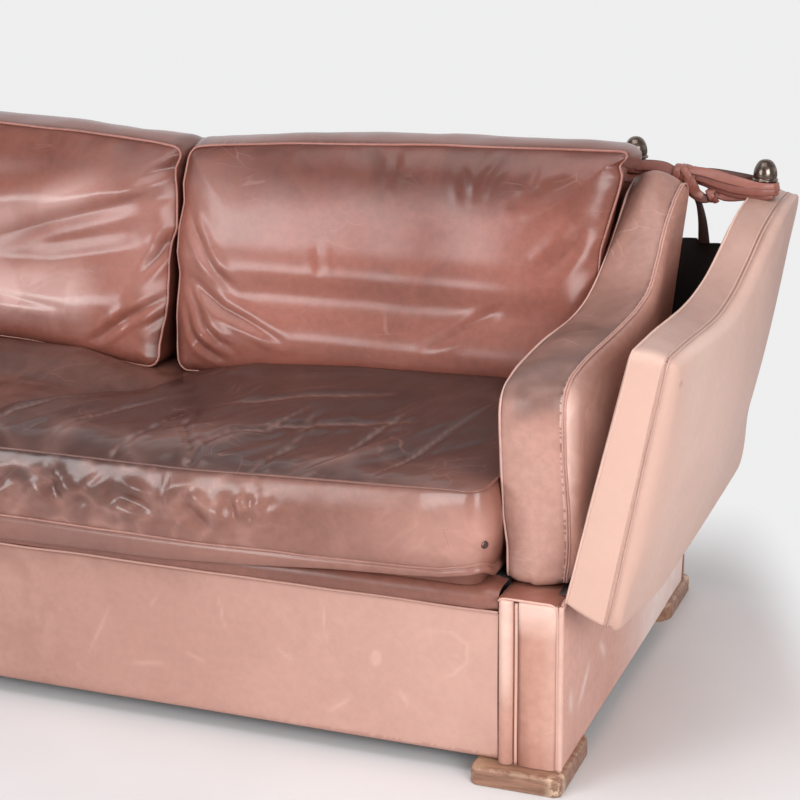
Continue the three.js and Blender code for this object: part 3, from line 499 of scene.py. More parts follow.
def hide_group():
    """What all the leather shares: clouding, blotches, mottling, hairline scratches, grain, and
    how dark and pale marks take their colours. The dark marks carry dirt and painted shade; the
    pale marks carry rubbing and painted highlights."""
    g, given, out = group_of(
        "hide",
        (("Base", "C"), ("Clouded", "C"), ("Blotched", "C"), ("Dark", "C"), ("Pale", "C"),
         ("Scratched", "C"), ("Dark Mark", "F"), ("Pale Mark", "F"), ("Blotches", "F"),
         ("Mottling", "F"), ("Fray", "F"), ("Scratches", "F"), ("Ripple", "F")),
        (("Colour", "C"), ("Height", "F")))
    where = g.node("TexCoord").outputs["Object"]
    cloud = g.ramp(g.noise(where, 2.6, 3, 0.55, 0.6), 0.34, 0.68)
    blotch = g.ramp(g.noise(where, 11, 3, 0.6, 0.8), 0.36, 0.66)
    colour = g.mix(cloud, given["Base"], given["Clouded"])
    colour = g.mix(g.math("MULTIPLY", blotch, given["Blotches"]), colour, given["Blotched"])
    mottle = g.ramp(g.noise(where, 70, 2, 0.6), 0.3, 0.7, -0.08, 0.06)
    shade = g.math("ADD", g.math("MULTIPLY", mottle, given["Mottling"]), 1.0)
    grey = g.node("CombineColor", {"Red": shade, "Green": shade, "Blue": shade})
    colour = g.mix(1.0, colour, grey.outputs[0], "MULTIPLY")
    edge = g.math("MULTIPLY", g.ramp(given["Dark Mark"], 0, 0.4), given["Fray"])
    frayed = g.math("MULTIPLY", g.math("SUBTRACT", blotch, 0.5), edge)
    frayed = g.math("ADD", given["Dark Mark"], frayed)
    colour = g.mix(g.ramp(frayed, 0.03, 0.97), colour, given["Dark"])
    patchy = g.math("MULTIPLY", g.ramp(blotch, 0, 1, 0.3, 0), given["Mottling"])
    # The pale mark carries rubbing, and painted highlights and painted light as well.
    paled = g.math("MULTIPLY", given["Pale Mark"], g.math("SUBTRACT", 1.0, patchy))
    colour = g.mix(paled, colour, given["Pale"])
    drift = g.node("TexNoise", {"Vector": where, "Scale": 6.0}).outputs["Color"]
    drift = g.node("VectorMath", {0: drift, "Scale": 0.10}, operation="SCALE").outputs[0]
    bent = g.node("VectorMath", {0: where, 1: drift}, operation="ADD").outputs[0]
    turned = g.node("Mapping", {"Vector": bent, "Rotation": (0.7, 0.9, 0.8), "Scale": (1, 1, 3.2)})
    cells = g.node("TexVoronoi", {"Vector": turned, "Scale": 9.0},
                   feature="DISTANCE_TO_EDGE").outputs["Distance"]
    some = g.ramp(g.noise(where, 9, 2), 0.52, 0.66)
    scratch = g.math("MULTIPLY", g.ramp(cells, 0.003, 0.014, 1, 0), some)
    colour = g.mix(g.math("MULTIPLY", scratch, given["Scratches"]), colour, given["Scratched"])
    g.plug(colour, out["Colour"])
    pores = g.node("TexVoronoi", {"Vector": where, "Scale": 420.0}).outputs["Distance"]
    ripple = g.math("MULTIPLY", g.noise(where, 30, 3, 0.6, 0.2), given["Ripple"])
    g.plug(g.math("ADD", ripple, g.math("MULTIPLY", pores, 0.05)), out["Height"])


def grain_group():
    """What wood, metal and cloth share: two colours mixed by stretched noise."""
    g, given, out = group_of(
        "grain", (("Light", "C"), ("Deep", "C"), ("Roughness", "F"), ("Scale", "F"),
                  ("Stretch", "V")),
        (("Colour", "C"), ("Roughness", "F"), ("Height", "F")))
    where = g.node("Mapping", {"Vector": g.node("TexCoord").outputs["Object"],
                               "Scale": given["Stretch"]})
    coarse = g.noise(where, given["Scale"], 5, 0.6, 0.6)
    fine = g.noise(where, g.math("MULTIPLY", given["Scale"], 7.0), 3, 0.6)
    both = g.math("ADD", g.math("MULTIPLY", coarse, 0.7), g.math("MULTIPLY", fine, 0.3))
    g.plug(g.mix(g.ramp(both, 0.36, 0.64), given["Deep"], given["Light"]), out["Colour"])
    g.plug(g.math("ADD", g.ramp(both, 0.3, 0.7, 0.08, -0.06), given["Roughness"]),
           out["Roughness"])
    g.plug(both, out["Height"])


def leather(name, base, clouded, dark, pale, rough, coat, gloss, ripple, scratch,
            scratch_colour=None, clouds=0.2, fray=0.18, sheen=0.35, mottle=1.0):
    """A hide of two close colours, with the colours of its dark marks (dirt and painted shade) and
    its pale marks (rubbing and painted highlights).
    """
    material = bpy.data.materials.new(name)
    material.use_nodes = True
    g = Graph(material.node_tree)
    shader = g.nodes["Principled BSDF"]
    blotched = tuple(min(1, c * 1.22) for c in srgb(*base)[:3]) + (1,)
    hide = g.node("Group", {
        "Base": srgb(*base), "Clouded": srgb(*clouded), "Blotched": blotched,
        "Dark": srgb(*dark), "Pale": srgb(*pale), "Scratched": srgb(*(scratch_colour or pale)),
        "Dark Mark": g.node("Attribute", attribute_name="dark").outputs["Fac"],
        "Pale Mark": g.node("Attribute", attribute_name="pale").outputs["Fac"],
        "Blotches": clouds, "Mottling": mottle, "Fray": fray, "Scratches": scratch,
        "Ripple": ripple}, node_tree=bpy.data.node_groups["hide"]).outputs
    g.plug(hide["Colour"], shader.inputs["Base Color"])
    shader.inputs["Roughness"].default_value = rough
    shader.inputs["Specular IOR Level"].default_value = sheen
    shader.inputs["Coat Weight"].default_value = coat
    shader.inputs["Coat Roughness"].default_value = gloss
    bump = g.node("Bump", {"Height": hide["Height"], "Strength": 0.32, "Distance": 0.005})
    g.plug(bump, shader.inputs["Normal"])
    return material


def plain(name, light, deep, rough, metal=0.0, scale=30.0, bump=0.2, stretch=(1, 1, 1)):
    """Wood, metal or cloth: two colours with a matching relief."""
    material = bpy.data.materials.new(name)
    material.use_nodes = True
    g = Graph(material.node_tree)
    shader = g.nodes["Principled BSDF"]
    grain = g.node("Group", {"Light": srgb(*light), "Deep": srgb(*deep), "Roughness": rough,
                             "Scale": scale, "Stretch": stretch},
                   node_tree=bpy.data.node_groups["grain"]).outputs
    g.plug(grain["Colour"], shader.inputs["Base Color"])
    g.plug(grain["Roughness"], shader.inputs["Roughness"])
    shader.inputs["Metallic"].default_value = metal
    relief = g.node("Bump", {"Height": grain["Height"], "Strength": bump, "Distance": 0.002})
    g.plug(relief, shader.inputs["Normal"])
    return material


def worn_wood():
    """Stained wood, rubbed to bare wood where the pale mark and a coarse noise agree."""
    material = plain("stained_wood", (158, 116, 94), (122, 86, 68), 0.42, scale=26,
                     stretch=(0.35, 4, 4))
    g = Graph(material.node_tree)
    shader = g.nodes["Principled BSDF"]
    stain = shader.inputs["Base Color"].links[0].from_socket
    where = g.node("TexCoord").outputs["Object"]
    chips = g.ramp(g.noise(where, 60, 4, 0.65), 0.44, 0.56)
    pale_mark = g.node("Attribute", attribute_name="pale").outputs["Fac"]
    dark_mark = g.node("Attribute", attribute_name="dark").outputs["Fac"]
    bare = g.math("MULTIPLY", pale_mark, chips)
    colour = g.mix(dark_mark, stain, srgb(182, 148, 116))
    g.plug(g.mix(bare, colour, srgb(206, 176, 150)), shader.inputs["Base Color"])
    return material


def floor_material():
    """A pale floor that runs up into a plain white wall behind the sofa."""
    material = bpy.data.materials.new("floor")
    material.use_nodes = True
    g = Graph(material.node_tree)
    shader = g.nodes["Principled BSDF"]
    where = g.node("TexCoord").outputs["Object"]
    stained = g.ramp(g.noise(where, 2.2, 4), 0.3, 0.7)
    g.plug(g.mix(stained, srgb(220, 217, 217), srgb(226, 223, 223)), shader.inputs["Base Color"])
    shader.inputs["Roughness"].default_value = 0.6
    glow = g.node("Emission", {"Color": (0.86, 0.86, 0.865, 1), "Strength": 1.0})
    place = g.node("SeparateXYZ", {0: where}).outputs
    aside = g.ramp(place["X"], 0.92, 1.4, 0, 0.9)
    behind = g.ramp(g.math("ADD", place["Y"], aside), 0.50, 0.98)
    reach = g.node("VectorMath", {0: where}, operation="LENGTH").outputs["Value"]
    behind = g.math("MAXIMUM", behind, g.ramp(reach, 2.0, 3.6))
    seen = g.node("LightPath").outputs["Is Camera Ray"]
    blend = g.node("MixShader", {0: g.math("MULTIPLY", behind, seen), 1: shader.outputs[0],
                                 2: glow})
    g.plug(blend, g.nodes["Material Output"].inputs["Surface"])
    return material


# Seat.

def seat_rim(x):
    """Height of the seat's upper front seam, which droops where people sit."""
    return np.interp(x, [-0.79, -0.5, -0.06, 0.247, 0.536, 0.686, 0.786],
                     [0.478, 0.462, 0.459, 0.461, 0.472, 0.478, 0.486])


def seat_low_rim(x):
    return np.interp(x, [-0.79, -0.5, -0.07, 0.24, 0.48, 0.718, 0.786],
                     [0.352, 0.347, 0.345, 0.342, 0.345, 0.352, 0.366])


def seat_hang(x):
    """How low the roll under the lower front seam hangs."""
    return np.interp(x, [-0.79, -0.5, -0.1, 0.24, 0.388, 0.53, 0.68, 0.72, 0.786],
                     [0.312, 0.303, 0.299, 0.304, 0.313, 0.326, 0.334, 0.338, 0.350])


def seat_back_line(x):
    """Height at which the seat's top meets the back cushions."""
    return np.interp(x, [-0.79, -0.45, -0.32, -0.16, -0.05, 0.014, 0.055, 0.2, 0.39, 0.67, 0.79],
                     [0.498, 0.512, 0.514, 0.512, 0.487, 0.474, 0.478, 0.508, 0.522, 0.527, 0.51])


def seat_ridge(y):
    """Where the ridge between the two hollows runs."""
    return np.interp(y, [0, 0.06, 0.155, 0.202, 0.238, 0.29, 0.332, 0.43],
                     [-0.100, -0.096, -0.095, -0.063, -0.033, 0.008, 0.056, 0.13])


def seat_bowl(x, y):
    """1 in the hollow left of the ridge, 0 on it and away from it."""
    left = 0.8 * (seat_ridge(y) - x)
    return smooth(0.0, 0.10, left) * (1 - 0.75 * smooth(0.34, 0.62, left)) * smooth(0.01, 0.12, y)


def seat_height(x, y, d):
    """Height of the seat's top at x, y and distance d from its edge."""
    front = seat_rim(x) * (1 - smooth(0.0, 0.35, y)) + SEAT_UPPER * smooth(0.0, 0.35, y)
    crown = 1 - np.exp(-d / 0.024)
    rear = seat_back_line(x)
    plateau = 0.488 + (rear - 0.488) * smooth(0.06, 0.42, y)
    z = front + (plateau - front) * crown
    z += 0.004 * fractal(x, y, 0.35, 21, 2) * crown
    z -= 0.007 * np.exp(-((x - 0.42) / 0.26) ** 2 - ((y - 0.26) / 0.16) ** 2)
    ridge = seat_ridge(y)
    left = 0.838 * (ridge - x)
    z += 0.007 * bell(left, -0.03, 0.07) * smooth(0.02, 0.12, y) * smooth(0.46, 0.36, y)
    z -= 0.046 * seat_bowl(x, y) * (1 - 0.85 * smooth(0.33, 0.45, y))
    pressed = smooth(0.452, 0.478, y)
    return z * (1 - pressed) + SEAT_UPPER * pressed


SEAT_CREASES = [
    ([(0.139, -0.03), (0.154, 0.05), (0.173, 0.146), (0.197, 0.22)], 0.006, 0.0035),
    ([(0.290, -0.02), (0.274, 0.03), (0.216, 0.132), (0.205, 0.203)], 0.006, 0.004),
    ([(0.284, -0.03), (0.283, 0.067), (0.304, 0.134), (0.359, 0.153), (0.394, 0.262)],
     0.007, 0.0045),
    ([(0.398, -0.03), (0.41, 0.052), (0.425, 0.115), (0.406, 0.26)], 0.006, 0.0035),
    ([(0.457, -0.01), (0.517, 0.062), (0.539, 0.181), (0.574, 0.3)], 0.007, 0.004),
    ([(0.60, 0.01), (0.63, 0.10), (0.66, 0.22), (0.70, 0.33)], 0.006, 0.003),
    ([(0.02, 0.02), (0.03, 0.10), (0.07, 0.20), (0.12, 0.27)], 0.007, 0.0035),
    ([(-0.12, 0.02), (-0.10, 0.12), (-0.05, 0.22)], 0.007, 0.0035),
    ([(-0.30, 0.01), (-0.33, 0.12), (-0.40, 0.2)], 0.008, 0.004),
    ([(-0.55, 0.01), (-0.50, 0.12), (-0.52, 0.25)], 0.007, 0.004),
    ([(0.33, 0.16), (0.47, 0.22), (0.60, 0.24)], 0.010, 0.003),
    ([(0.22, 0.24), (0.36, 0.30), (0.52, 0.34)], 0.010, 0.003),
]


def make_seat(leathers):
    """The long seat cushion: top, border, the roll under it, piping and vent eyelet."""
    half, front, rear, radius = 0.788, -0.004, 0.712, 0.028
    arc = QUARTER * radius
    loop = outline(
        (-half + radius, front), ("l", (half - radius, front)),
        ("c", (half - radius + arc, front), (half, front + radius - arc), (half, front + radius)),
        ("l", (half, rear - radius)),
        ("c", (half, rear - radius + arc), (half - radius + arc, rear), (half - radius, rear)),
        ("l", (-half + radius, rear)),
        ("c", (-half + radius - arc, rear), (-half, rear - radius + arc), (-half, rear - radius)),
        ("l", (-half, front + radius)),
        ("c", (-half, front + radius - arc), (-half + radius - arc, front),
         (-half + radius, front)))
    nick = CORNER_IN * radius
    corners = [(-half + nick, front + nick), (half - nick, front + nick),
               (half - nick, rear - nick), (-half + nick, rear - nick)]
    flat = patch(*split(loop[:-1], corners), 300, 142)
    x, y = flat[..., 0], flat[..., 1]
    d = edge_distance(flat, rim(flat)[::3])
    off_edge = smooth(0, 0.012, d)
    work = np.zeros_like(x)
    # Pale lines where the leather is rubbed along the creases.
    paled = np.zeros_like(x)
    for path, width, depth in SEAT_CREASES:
        work += crease(x, y, path, width, depth)
        paled += line_mark(x + 0.006, y, path, 0.35 * width)
    swept = x - 0.62 * y + 0.05 * fractal(x, y, 0.22, 8, 2)
    folds = fractal(swept, 0.30 * (y + 0.4 * x), 0.075, 31, 3, 0.45)
    settled = (1 - 0.8 * seat_bowl(x, y)) * smooth(0.44, 0.30, y) * smooth(0.005, 0.07, d)
    work += 0.0085 * folds * settled
    work += 0.0012 * fractal(x - 0.9 * y, y * 0.3, 0.03, 33, 2) * bell(y, 0.03, 0.05)
    work += 0.0007 * fractal(x, y, 0.06, 12, 3)
    z = seat_height(x, y, d) + work * off_edge * smooth(0.47, 0.43, y)
    back_set = 0.012 * (1 - smooth(0.68, 0.786, np.abs(x))) * smooth(0.14, 0.0, y)
    top = xyz(x, y + back_set, z)
    fresh = smooth(0.42, 0.74, x) * smooth(0.10, 0.02, y)
    dark = 0.93 - 0.35 * fresh - 0.26 * seat_bowl(x, y) * smooth(0.05, 0.2, y)
    dark = dark + 0.12 * fractal(x, y, 0.15, 5)
    cracks = np.clip(work * 160, 0, 1) * smooth(0.22, 0.02, y)
    crazed = ridged(x + 0.6 * y, y, 0.12, 77, 3) * (1 - smooth(0.03, 0.16, y))
    shell = Shell().grid(top, dark=dark, pale=0.15 * crazed + 0.18 * cracks + 0.22 * paled)

    a = rim(top)
    b = rim(flat)
    at_front = smooth(0.06, 0.0, b[:, 1])
    low_z = SEAT_LOWER + (seat_low_rim(b[:, 0]) - SEAT_LOWER) * at_front
    lower = np.column_stack([b[:, 0], b[:, 1] - 0.004 * at_front, low_z])
    steps = 32
    s = np.linspace(0, 1, steps)[None]
    along = b[:, :1]
    down = SEAT_BORDER * s
    is_front = at_front[:, None]
    crumple = smooth(0.46, 0.22, np.abs(along + 0.05)) * is_front
    swell = 0.012 + 0.003 * fractal(along, down, 0.3, 44, 2)
    swell = swell + is_front * 0.0006 * fractal(along, down, 0.06, 46, 2)
    level = SEAT_UPPER - down
    for x0, x1, z0, z1, wide, deep in (
            (0.017, 0.061, .437, .385, .012, .0075), (0.155, 0.227, .416, .398, .011, .008),
            (0.272, 0.332, .420, .366, .012, .009), (0.360, 0.376, .428, .394, .010, .007),
            (0.394, 0.400, .440, .395, .008, .005), (-0.05, -0.12, .43, .38, .012, .008),
            (-0.2, -0.28, .38, .44, .012, .008), (-0.4, -0.36, .43, .37, .011, .007),
            (0.10, 0.06, .405, .378, .009, .005), (-0.31, -0.35, .42, .39, .010, .006)):
        swell = swell + is_front * crease(along, level, [(x0, z0), (x1, z1)], wide, deep, lip=0.9)
    for k in range(16):
        rng = np.random.default_rng(100 + k)
        cx, cz = rng.uniform(-0.75, 0.45), rng.uniform(0.37, 0.45)
        dx, dz = rng.uniform(0.02, 0.07), rng.uniform(0.01, 0.05)
        swell = swell + is_front * crease(along, level, [(cx, cz), (cx + dx, cz + dz)],
                                          0.0060, 0.0022, lip=0.7)
    swell = swell + crumple * 0.0030 * fractal(along + 0.5 * down, 0.6 * down, 0.045, 43, 2)
    for join in (0.240, -0.240):
        swell = swell - 0.004 * bell(along - 0.17 * (0.06 - down), join, 0.004) * is_front
    strip = border(a, lower, swell, steps)
    lines = ridged(along + 0.9 * down, down - 0.5 * along, 0.055, 51, 3) * is_front
    left_wear = smooth(0.50, 0.05, along) * is_front
    border_dark = 0.16 + 0.24 * left_wear + 0.30 * left_wear * smooth(0.12, 0.03, down)
    border_dark = border_dark + 0.10 * fractal(along, down, 0.12, 52, 3)
    # Darker in thin lines at the upper and lower seams: painted shade in the seam grooves.
    border_dark = border_dark + 0.45 * bell(down, 0, 0.006) + 0.2 * bell(down, 0.12, 0.004)
    # Besides pale crazed lines on the left and a slightly paler lower part, the border is paler in
    # a broad band across the middle of its right part: a painted highlight of the key light on the
    # bulge.
    border_pale = 0.28 * lines * smooth(0.55, 0.3, along) + 0.75 * smooth(0.45, 0.78, along) \
        * is_front * bell(down, 0.065, 0.05) + 0.12 * smooth(0.06, 0.11, down) * is_front
    shell.grid(strip, closed=True, dark=border_dark, pale=border_pale)

    middle = (front + rear) / 2
    half_depth = (rear - front) / 2

    def inset(e):
        return b[:, 0] * (1 - e / half), middle + (b[:, 1] - middle) * (1 - e / half_depth)

    deep = low_z - (seat_hang(b[:, 0]) * at_front + SEAT_BOTTOM * (1 - at_front))
    sections = []
    for e, share in ((0, 0), (-0.0030, 0.15), (-0.0050, 0.38), (-0.0048, 0.62), (-0.0020, 0.86),
                     (0.0015, 0.98), (0.0040, 1.0), (0.0065, 0.93)):
        px, py = inset(e)
        sections.append(np.column_stack([px, py - 0.004 * at_front, low_z - share * deep]))
    for e in (0.009, 0.03):
        px, py = inset(e)
        sections.append(np.column_stack([px, py, np.full(len(b), SEAT_BOTTOM)]))
    roll = np.array(sections).transpose(1, 0, 2)
    shell.grid(roll, closed=True, dark=0.15 + 0.25 * left_wear[:, :1], pale=0.15)
    shell.grid(closing(roll[:, -1]), closed=True, dark=0.3)
    shell.build("seat_cushion_cover", leathers["seat"], "sofa", "seat_leather",
                cad=["seat_cushion"], fill=0.55)

    trim = Shell()
    path = seam_loop(a + [0, -0.0006, -0.0004])
    piping(trim, path, 0.0022, True, 0.0014, 5, pale=0.05, dark=0.25 + 0.35 * smooth(
        0.75, 0.2, path[:, 0])[:, None])
    path = seam_loop(lower + [0, -0.001, 0])
    piping(trim, path, 0.0023, True, 0.0014, 6, pale=0.30)
    off = np.linalg.norm(strip - [0.7935, -0.002, 0.400], axis=2)
    eye = strip.reshape(-1, 3)[np.argmin(off)] + [0.0004, -0.0004, 0]
    turn = np.linspace(0, 2 * np.pi, 25)[:-1]
    ring = eye + xyz(0.0040 * np.cos(turn), 0.0030 * np.cos(turn), 0.0056 * np.sin(turn))
    trim.grid(tube_rings(ring, 0.0012, True), closed=True, dark=1.0)
    # The eyelet's opening is a flat disc painted dark: painted shade inside the hole.
    inward = np.linspace(1, 0.05, 4)[None, :, None]
    trim.grid(eye + (ring - eye)[:, None] * inward, closed=True, dark=1.0)
    trim.build("seat_cushion_piping", leathers["seat"], "sofa", "seat_leather")


# Back cushions.

BACK_RIGHT_CREASES = [
    ([(0.031, 0.765), (0.053, 0.725), (0.076, 0.691), (0.104, 0.661), (0.136, 0.637)], .006, .006),
    ([(0.047, 0.648), (0.083, 0.619), (0.121, 0.597), (0.18, 0.577), (0.248, 0.551)], .006, .006),
    ([(0.043, 0.634), (0.064, 0.600), (0.088, 0.565), (0.121, 0.539), (0.143, 0.533)], .006, .005),
    ([(0.040, 0.598), (0.062, 0.553), (0.091, 0.525), (0.130, 0.504)], .006, .005),
    ([(0.655, 0.639), (0.61, 0.61), (0.569, 0.585), (0.523, 0.565)], .006, .003),
    ([(0.790, 0.78), (0.772, 0.751), (0.752, 0.728), (0.72, 0.70)], .010, .006),
    ([(0.76, 0.86), (0.72, 0.832), (0.67, 0.812)], .008, .003),
    ([(0.631, 0.89), (0.61, 0.863), (0.595, 0.825)], .006, .0025),
    ([(0.697, 0.88), (0.688, 0.845)], .006, .002),
    ([(0.56, 0.87), (0.572, 0.817)], .006, .002),
    ([(0.434, 0.88), (0.436, 0.834)], .006, .0015),
    ([(0.30, 0.72), (0.312, 0.67)], .006, .0018),
]
BACK_LEFT_CREASES = [
    ([(0.008, 0.852), (0.02, 0.833), (0.071, 0.814), (0.124, 0.802)], .007, .005),
    ([(0.011, 0.714), (0.027, 0.675), (0.053, 0.641)], .007, .007),
    ([(0.01, 0.78), (0.068, 0.778), (0.121, 0.762), (0.249, 0.728), (0.357, 0.694)], .010, .005),
    ([(0.352, 0.652), (0.241, 0.655), (0.076, 0.685)], .007, .003),
    ([(0.01, 0.599), (0.072, 0.566), (0.121, 0.529), (0.152, 0.514)], .006, .006),
    ([(0.008, 0.57), (0.037, 0.545)], .006, .004),
    ([(0.20, 0.575), (0.34, 0.590), (0.44, 0.585)], .006, .003),
    ([(0.47, 0.80), (0.52, 0.76), (0.60, 0.74)], .007, .003),
    ([(0.79, 0.70), (0.73, 0.66), (0.66, 0.64)], .008, .005),
    ([(0.78, 0.60), (0.72, 0.57), (0.67, 0.56)], .008, .004),
]


def back_top(x):
    """Height of a back cushion's upper front seam, x metres out from the middle."""
    return np.interp(x, [0, 0.06, 0.235, 0.45, 0.69, 0.83, 0.87],
                     [0.868, 0.874, 0.888, 0.897, 0.903, 0.904, 0.902])


def back_foot(x, side):
    """Height of a back cushion's lower front seam."""
    if side > 0:
        return 0.473 + 0.004 * smooth(0.2, 0.6, x)
    return 0.473 + 0.030 * smooth(0.0, 0.35, x) * (1 - 0.6 * smooth(0.55, 0.8, x))


def back_inner(z, side):
    """How far a back cushion's inner edge stands off the middle of the sofa."""
    if side > 0:
        return np.interp(z, [0.472, 0.515, 0.565, 0.642, 0.679, 0.724, 0.771, 0.803, 0.848, 0.872],
                         [0.030, 0.022, 0.0154, 0.0142, 0.005, 0.005, 0.013, 0.0084, 0.0129, 0.020])
    return np.interp(z, [0.4675, 0.512, 0.586, 0.696, 0.7236, 0.797, 0.831, 0.853, 0.88],
                     [0.0117, 0.0166, 0.0076, 0.0115, 0.002, 0.0077, 0.0126, 0.003, 0.003])


def make_back_cushion(side, leathers):
    """A back cushion that leans on the rear frame, with an ear over the arm cushion."""
    inner, outer, radius, tuck = 0.005, 0.802, 0.045, 0.022
    base_z, top_z = 0.4735, 0.885
    arc, bend = QUARTER * radius, QUARTER * tuck
    loop = outline(
        (inner + tuck, base_z), ("l", (outer - radius, base_z)),
        ("c", (outer - radius + arc, base_z), (outer, base_z + radius - arc),
         (outer, base_z + radius)),
        ("l", (outer, top_z - 0.018)), ("q", (outer, top_z), (outer - 0.018, top_z)),
        ("l", (inner + 0.018, top_z)), ("q", (inner, top_z), (inner, top_z - 0.018)),
        ("l", (inner, base_z + tuck)),
        ("c", (inner, base_z + tuck - bend), (inner + tuck - bend, base_z), (inner + tuck, base_z)))
    corners = [(inner + 0.3 * tuck, base_z + 0.3 * tuck), (outer - 0.013, base_z + 0.013),
               (outer - 0.005, top_z - 0.005), (inner + 0.005, top_z - 0.005)]
    flat = patch(*split(loop[:-1], corners), 204, 114)
    d = edge_distance(flat, rim(flat)[::2])
    u, v = flat[..., 0], flat[..., 1]
    share = (v - base_z) / (top_z - base_z)
    foot, head = back_foot(u, side), back_top(u)
    z = foot + share * (head - foot)
    ear = np.interp(z, [0.48, 0.60, 0.74, 0.80, 0.845, 0.865, 0.882, 0.897, 0.905],
                    [0, 0.012, 0.014, 0.026, 0.037, 0.040, 0.034, 0.050, 0.056])
    x = u + (back_inner(z, side) - inner) * (1 - smooth(inner, inner + 0.14, u)) \
        + ear * smooth(outer - 0.18, outer, u)
    y = 0.474 + 0.118 * np.clip(share, 0, 1) ** 0.9
    crown = 0.034 * (1 - np.exp(-d / 0.030))
    profile = 0.012 * bell(z, 0.545, 0.045) + 0.006 * bell(z, 0.672, 0.03) \
        - 0.004 * bell(z, 0.625, 0.03) - 0.004 * smooth(0.76, 0.88, z)
    profile = profile * smooth(0.0, 0.10, d)
    if side < 0:
        slope = 0.10 * (u - 0.05)
        profile = (0.015 * bell(z + slope, 0.60, 0.05) + 0.010 * bell(z + 1.2 * slope, 0.80, 0.03)
                   - 0.006 * bell(z + slope, 0.70, 0.04)) * smooth(0.0, 0.08, d)
    work = np.zeros_like(x)
    for path, width, depth in (BACK_RIGHT_CREASES if side > 0 else BACK_LEFT_CREASES):
        work += crease(x, z, path, 1.3 * width, 0.85 * depth, lip=0.6)
    seed = 60 if side > 0 else 80
    near = np.exp(-d / 0.035)
    ends = smooth(0.22, 0.0, u) + smooth(0.66, 0.8, u)
    pulls = fractal(z + 0.35 * u, u * 0.18, 0.035, seed, 2)
    work += 0.0024 * pulls * smooth(0.0, 0.02, d) * np.exp(-d / 0.07) * np.clip(ends, 0, 1)
    pulls = fractal(u + 0.2 * z, z * 0.2, 0.040, seed + 3, 2)
    work += 0.0022 * pulls * smooth(0, 0.015, d) * near * smooth(0.7, 0.85, z)
    work += 0.0040 * fractal(u, z, 0.17, seed + 5, 2, 0.4) * smooth(0, 0.05, d)
    y = y - crown - profile - work
    face = xyz(x, y, z)
    # Darker in the creases' furrows and in a thin line along the seam: painted shade.
    seam = bell(d, 0, 0.0026)
    dark = 0.25 + 0.22 * fractal(u, z, 0.22, seed + 7) + 0.5 * np.exp(-d / 0.02) * smooth(
        0.62, 0.5, z)
    dark = dark + np.clip(-work * 60, 0, 0.3) + 0.8 * seam + 0.40 * smooth(0.76, 0.85, z)
    # The pale bands are painted highlights: reflections of the key light near the split and, on the
    # left cushion, along its bulges.
    pale = 0.22 * smooth(0.30, 0.0, u) * smooth(0.55, 0.68, z) * smooth(0, 0.04, d)
    if side < 0:
        pale = pale + 0.85 * bell(z, 0.600, 0.05) * smooth(0.0, 0.05, d) * smooth(0.10, 0.22, u)
        pale = pale + 0.6 * bell(z + 0.3 * u, 0.84, 0.03) * smooth(0.10, 0.22, u)
    shell = Shell().grid(face, dark=dark, pale=pale)

    a = rim(face)
    b = rim(flat)
    rear_x = b[:, 0] + 0.030 * smooth(0.842, 0.866, b[:, 1]) * smooth(outer - 0.16, outer, b[:, 0])
    rear_share = (b[:, 1] - base_z) / (top_z - base_z)
    rear_z = base_z + rear_share * (back_top(b[:, 0]) - 0.012 - base_z)
    rear = np.column_stack([rear_x, np.full(len(b), 0.711), rear_z])
    up = smooth(0.80, 0.88, b[:, 1])[:, None]
    steps = 20
    s = np.linspace(0, 1, steps)[None]
    wave = fractal(b[:, :1], 0.13 * s, 0.09, seed + 11, 2)
    swell = up * (0.016 + 0.004 * wave) + (1 - up) * 0.003
    swell = swell + 0.010 * smooth(0.86, 0.90, a[:, 2:3]) * smooth(outer - 0.01, outer, b[:, :1])
    # Darker along the inner side where the two cushions meet, and along the front seam: painted
    # shade.
    split_shade = smooth(inner + 0.03, inner + 0.01, b[:, :1])
    shell.grid(border(a, rear, swell, steps), closed=True, dark=0.30 + 0.40 * up
               + 0.5 * bell(s, 0, 0.05) + 0.7 * split_shade, pale=0.10 * up)
    shell.grid(closing(rear), closed=True, dark=0.3)
    word = hand(side)
    shell.build(f"back_cushion_{word}_cover", leathers["back"], "sofa", "leather",
                cad=[f"back_cushion_{word}"], side=side, fill=0.6)
    trim = Shell()
    piping(trim, seam_loop(a), 0.0024, True, 0.0022, seed + 1, pale=0.12)
    piping(trim, seam_loop(rear + [0, -0.002, 0.001]), 0.0024, True, 0.001, seed + 2, pale=0.2)
    trim.build(f"back_cushion_{word}_piping", leathers["back"], "sofa", "leather", side=side)


# Arm cushions.

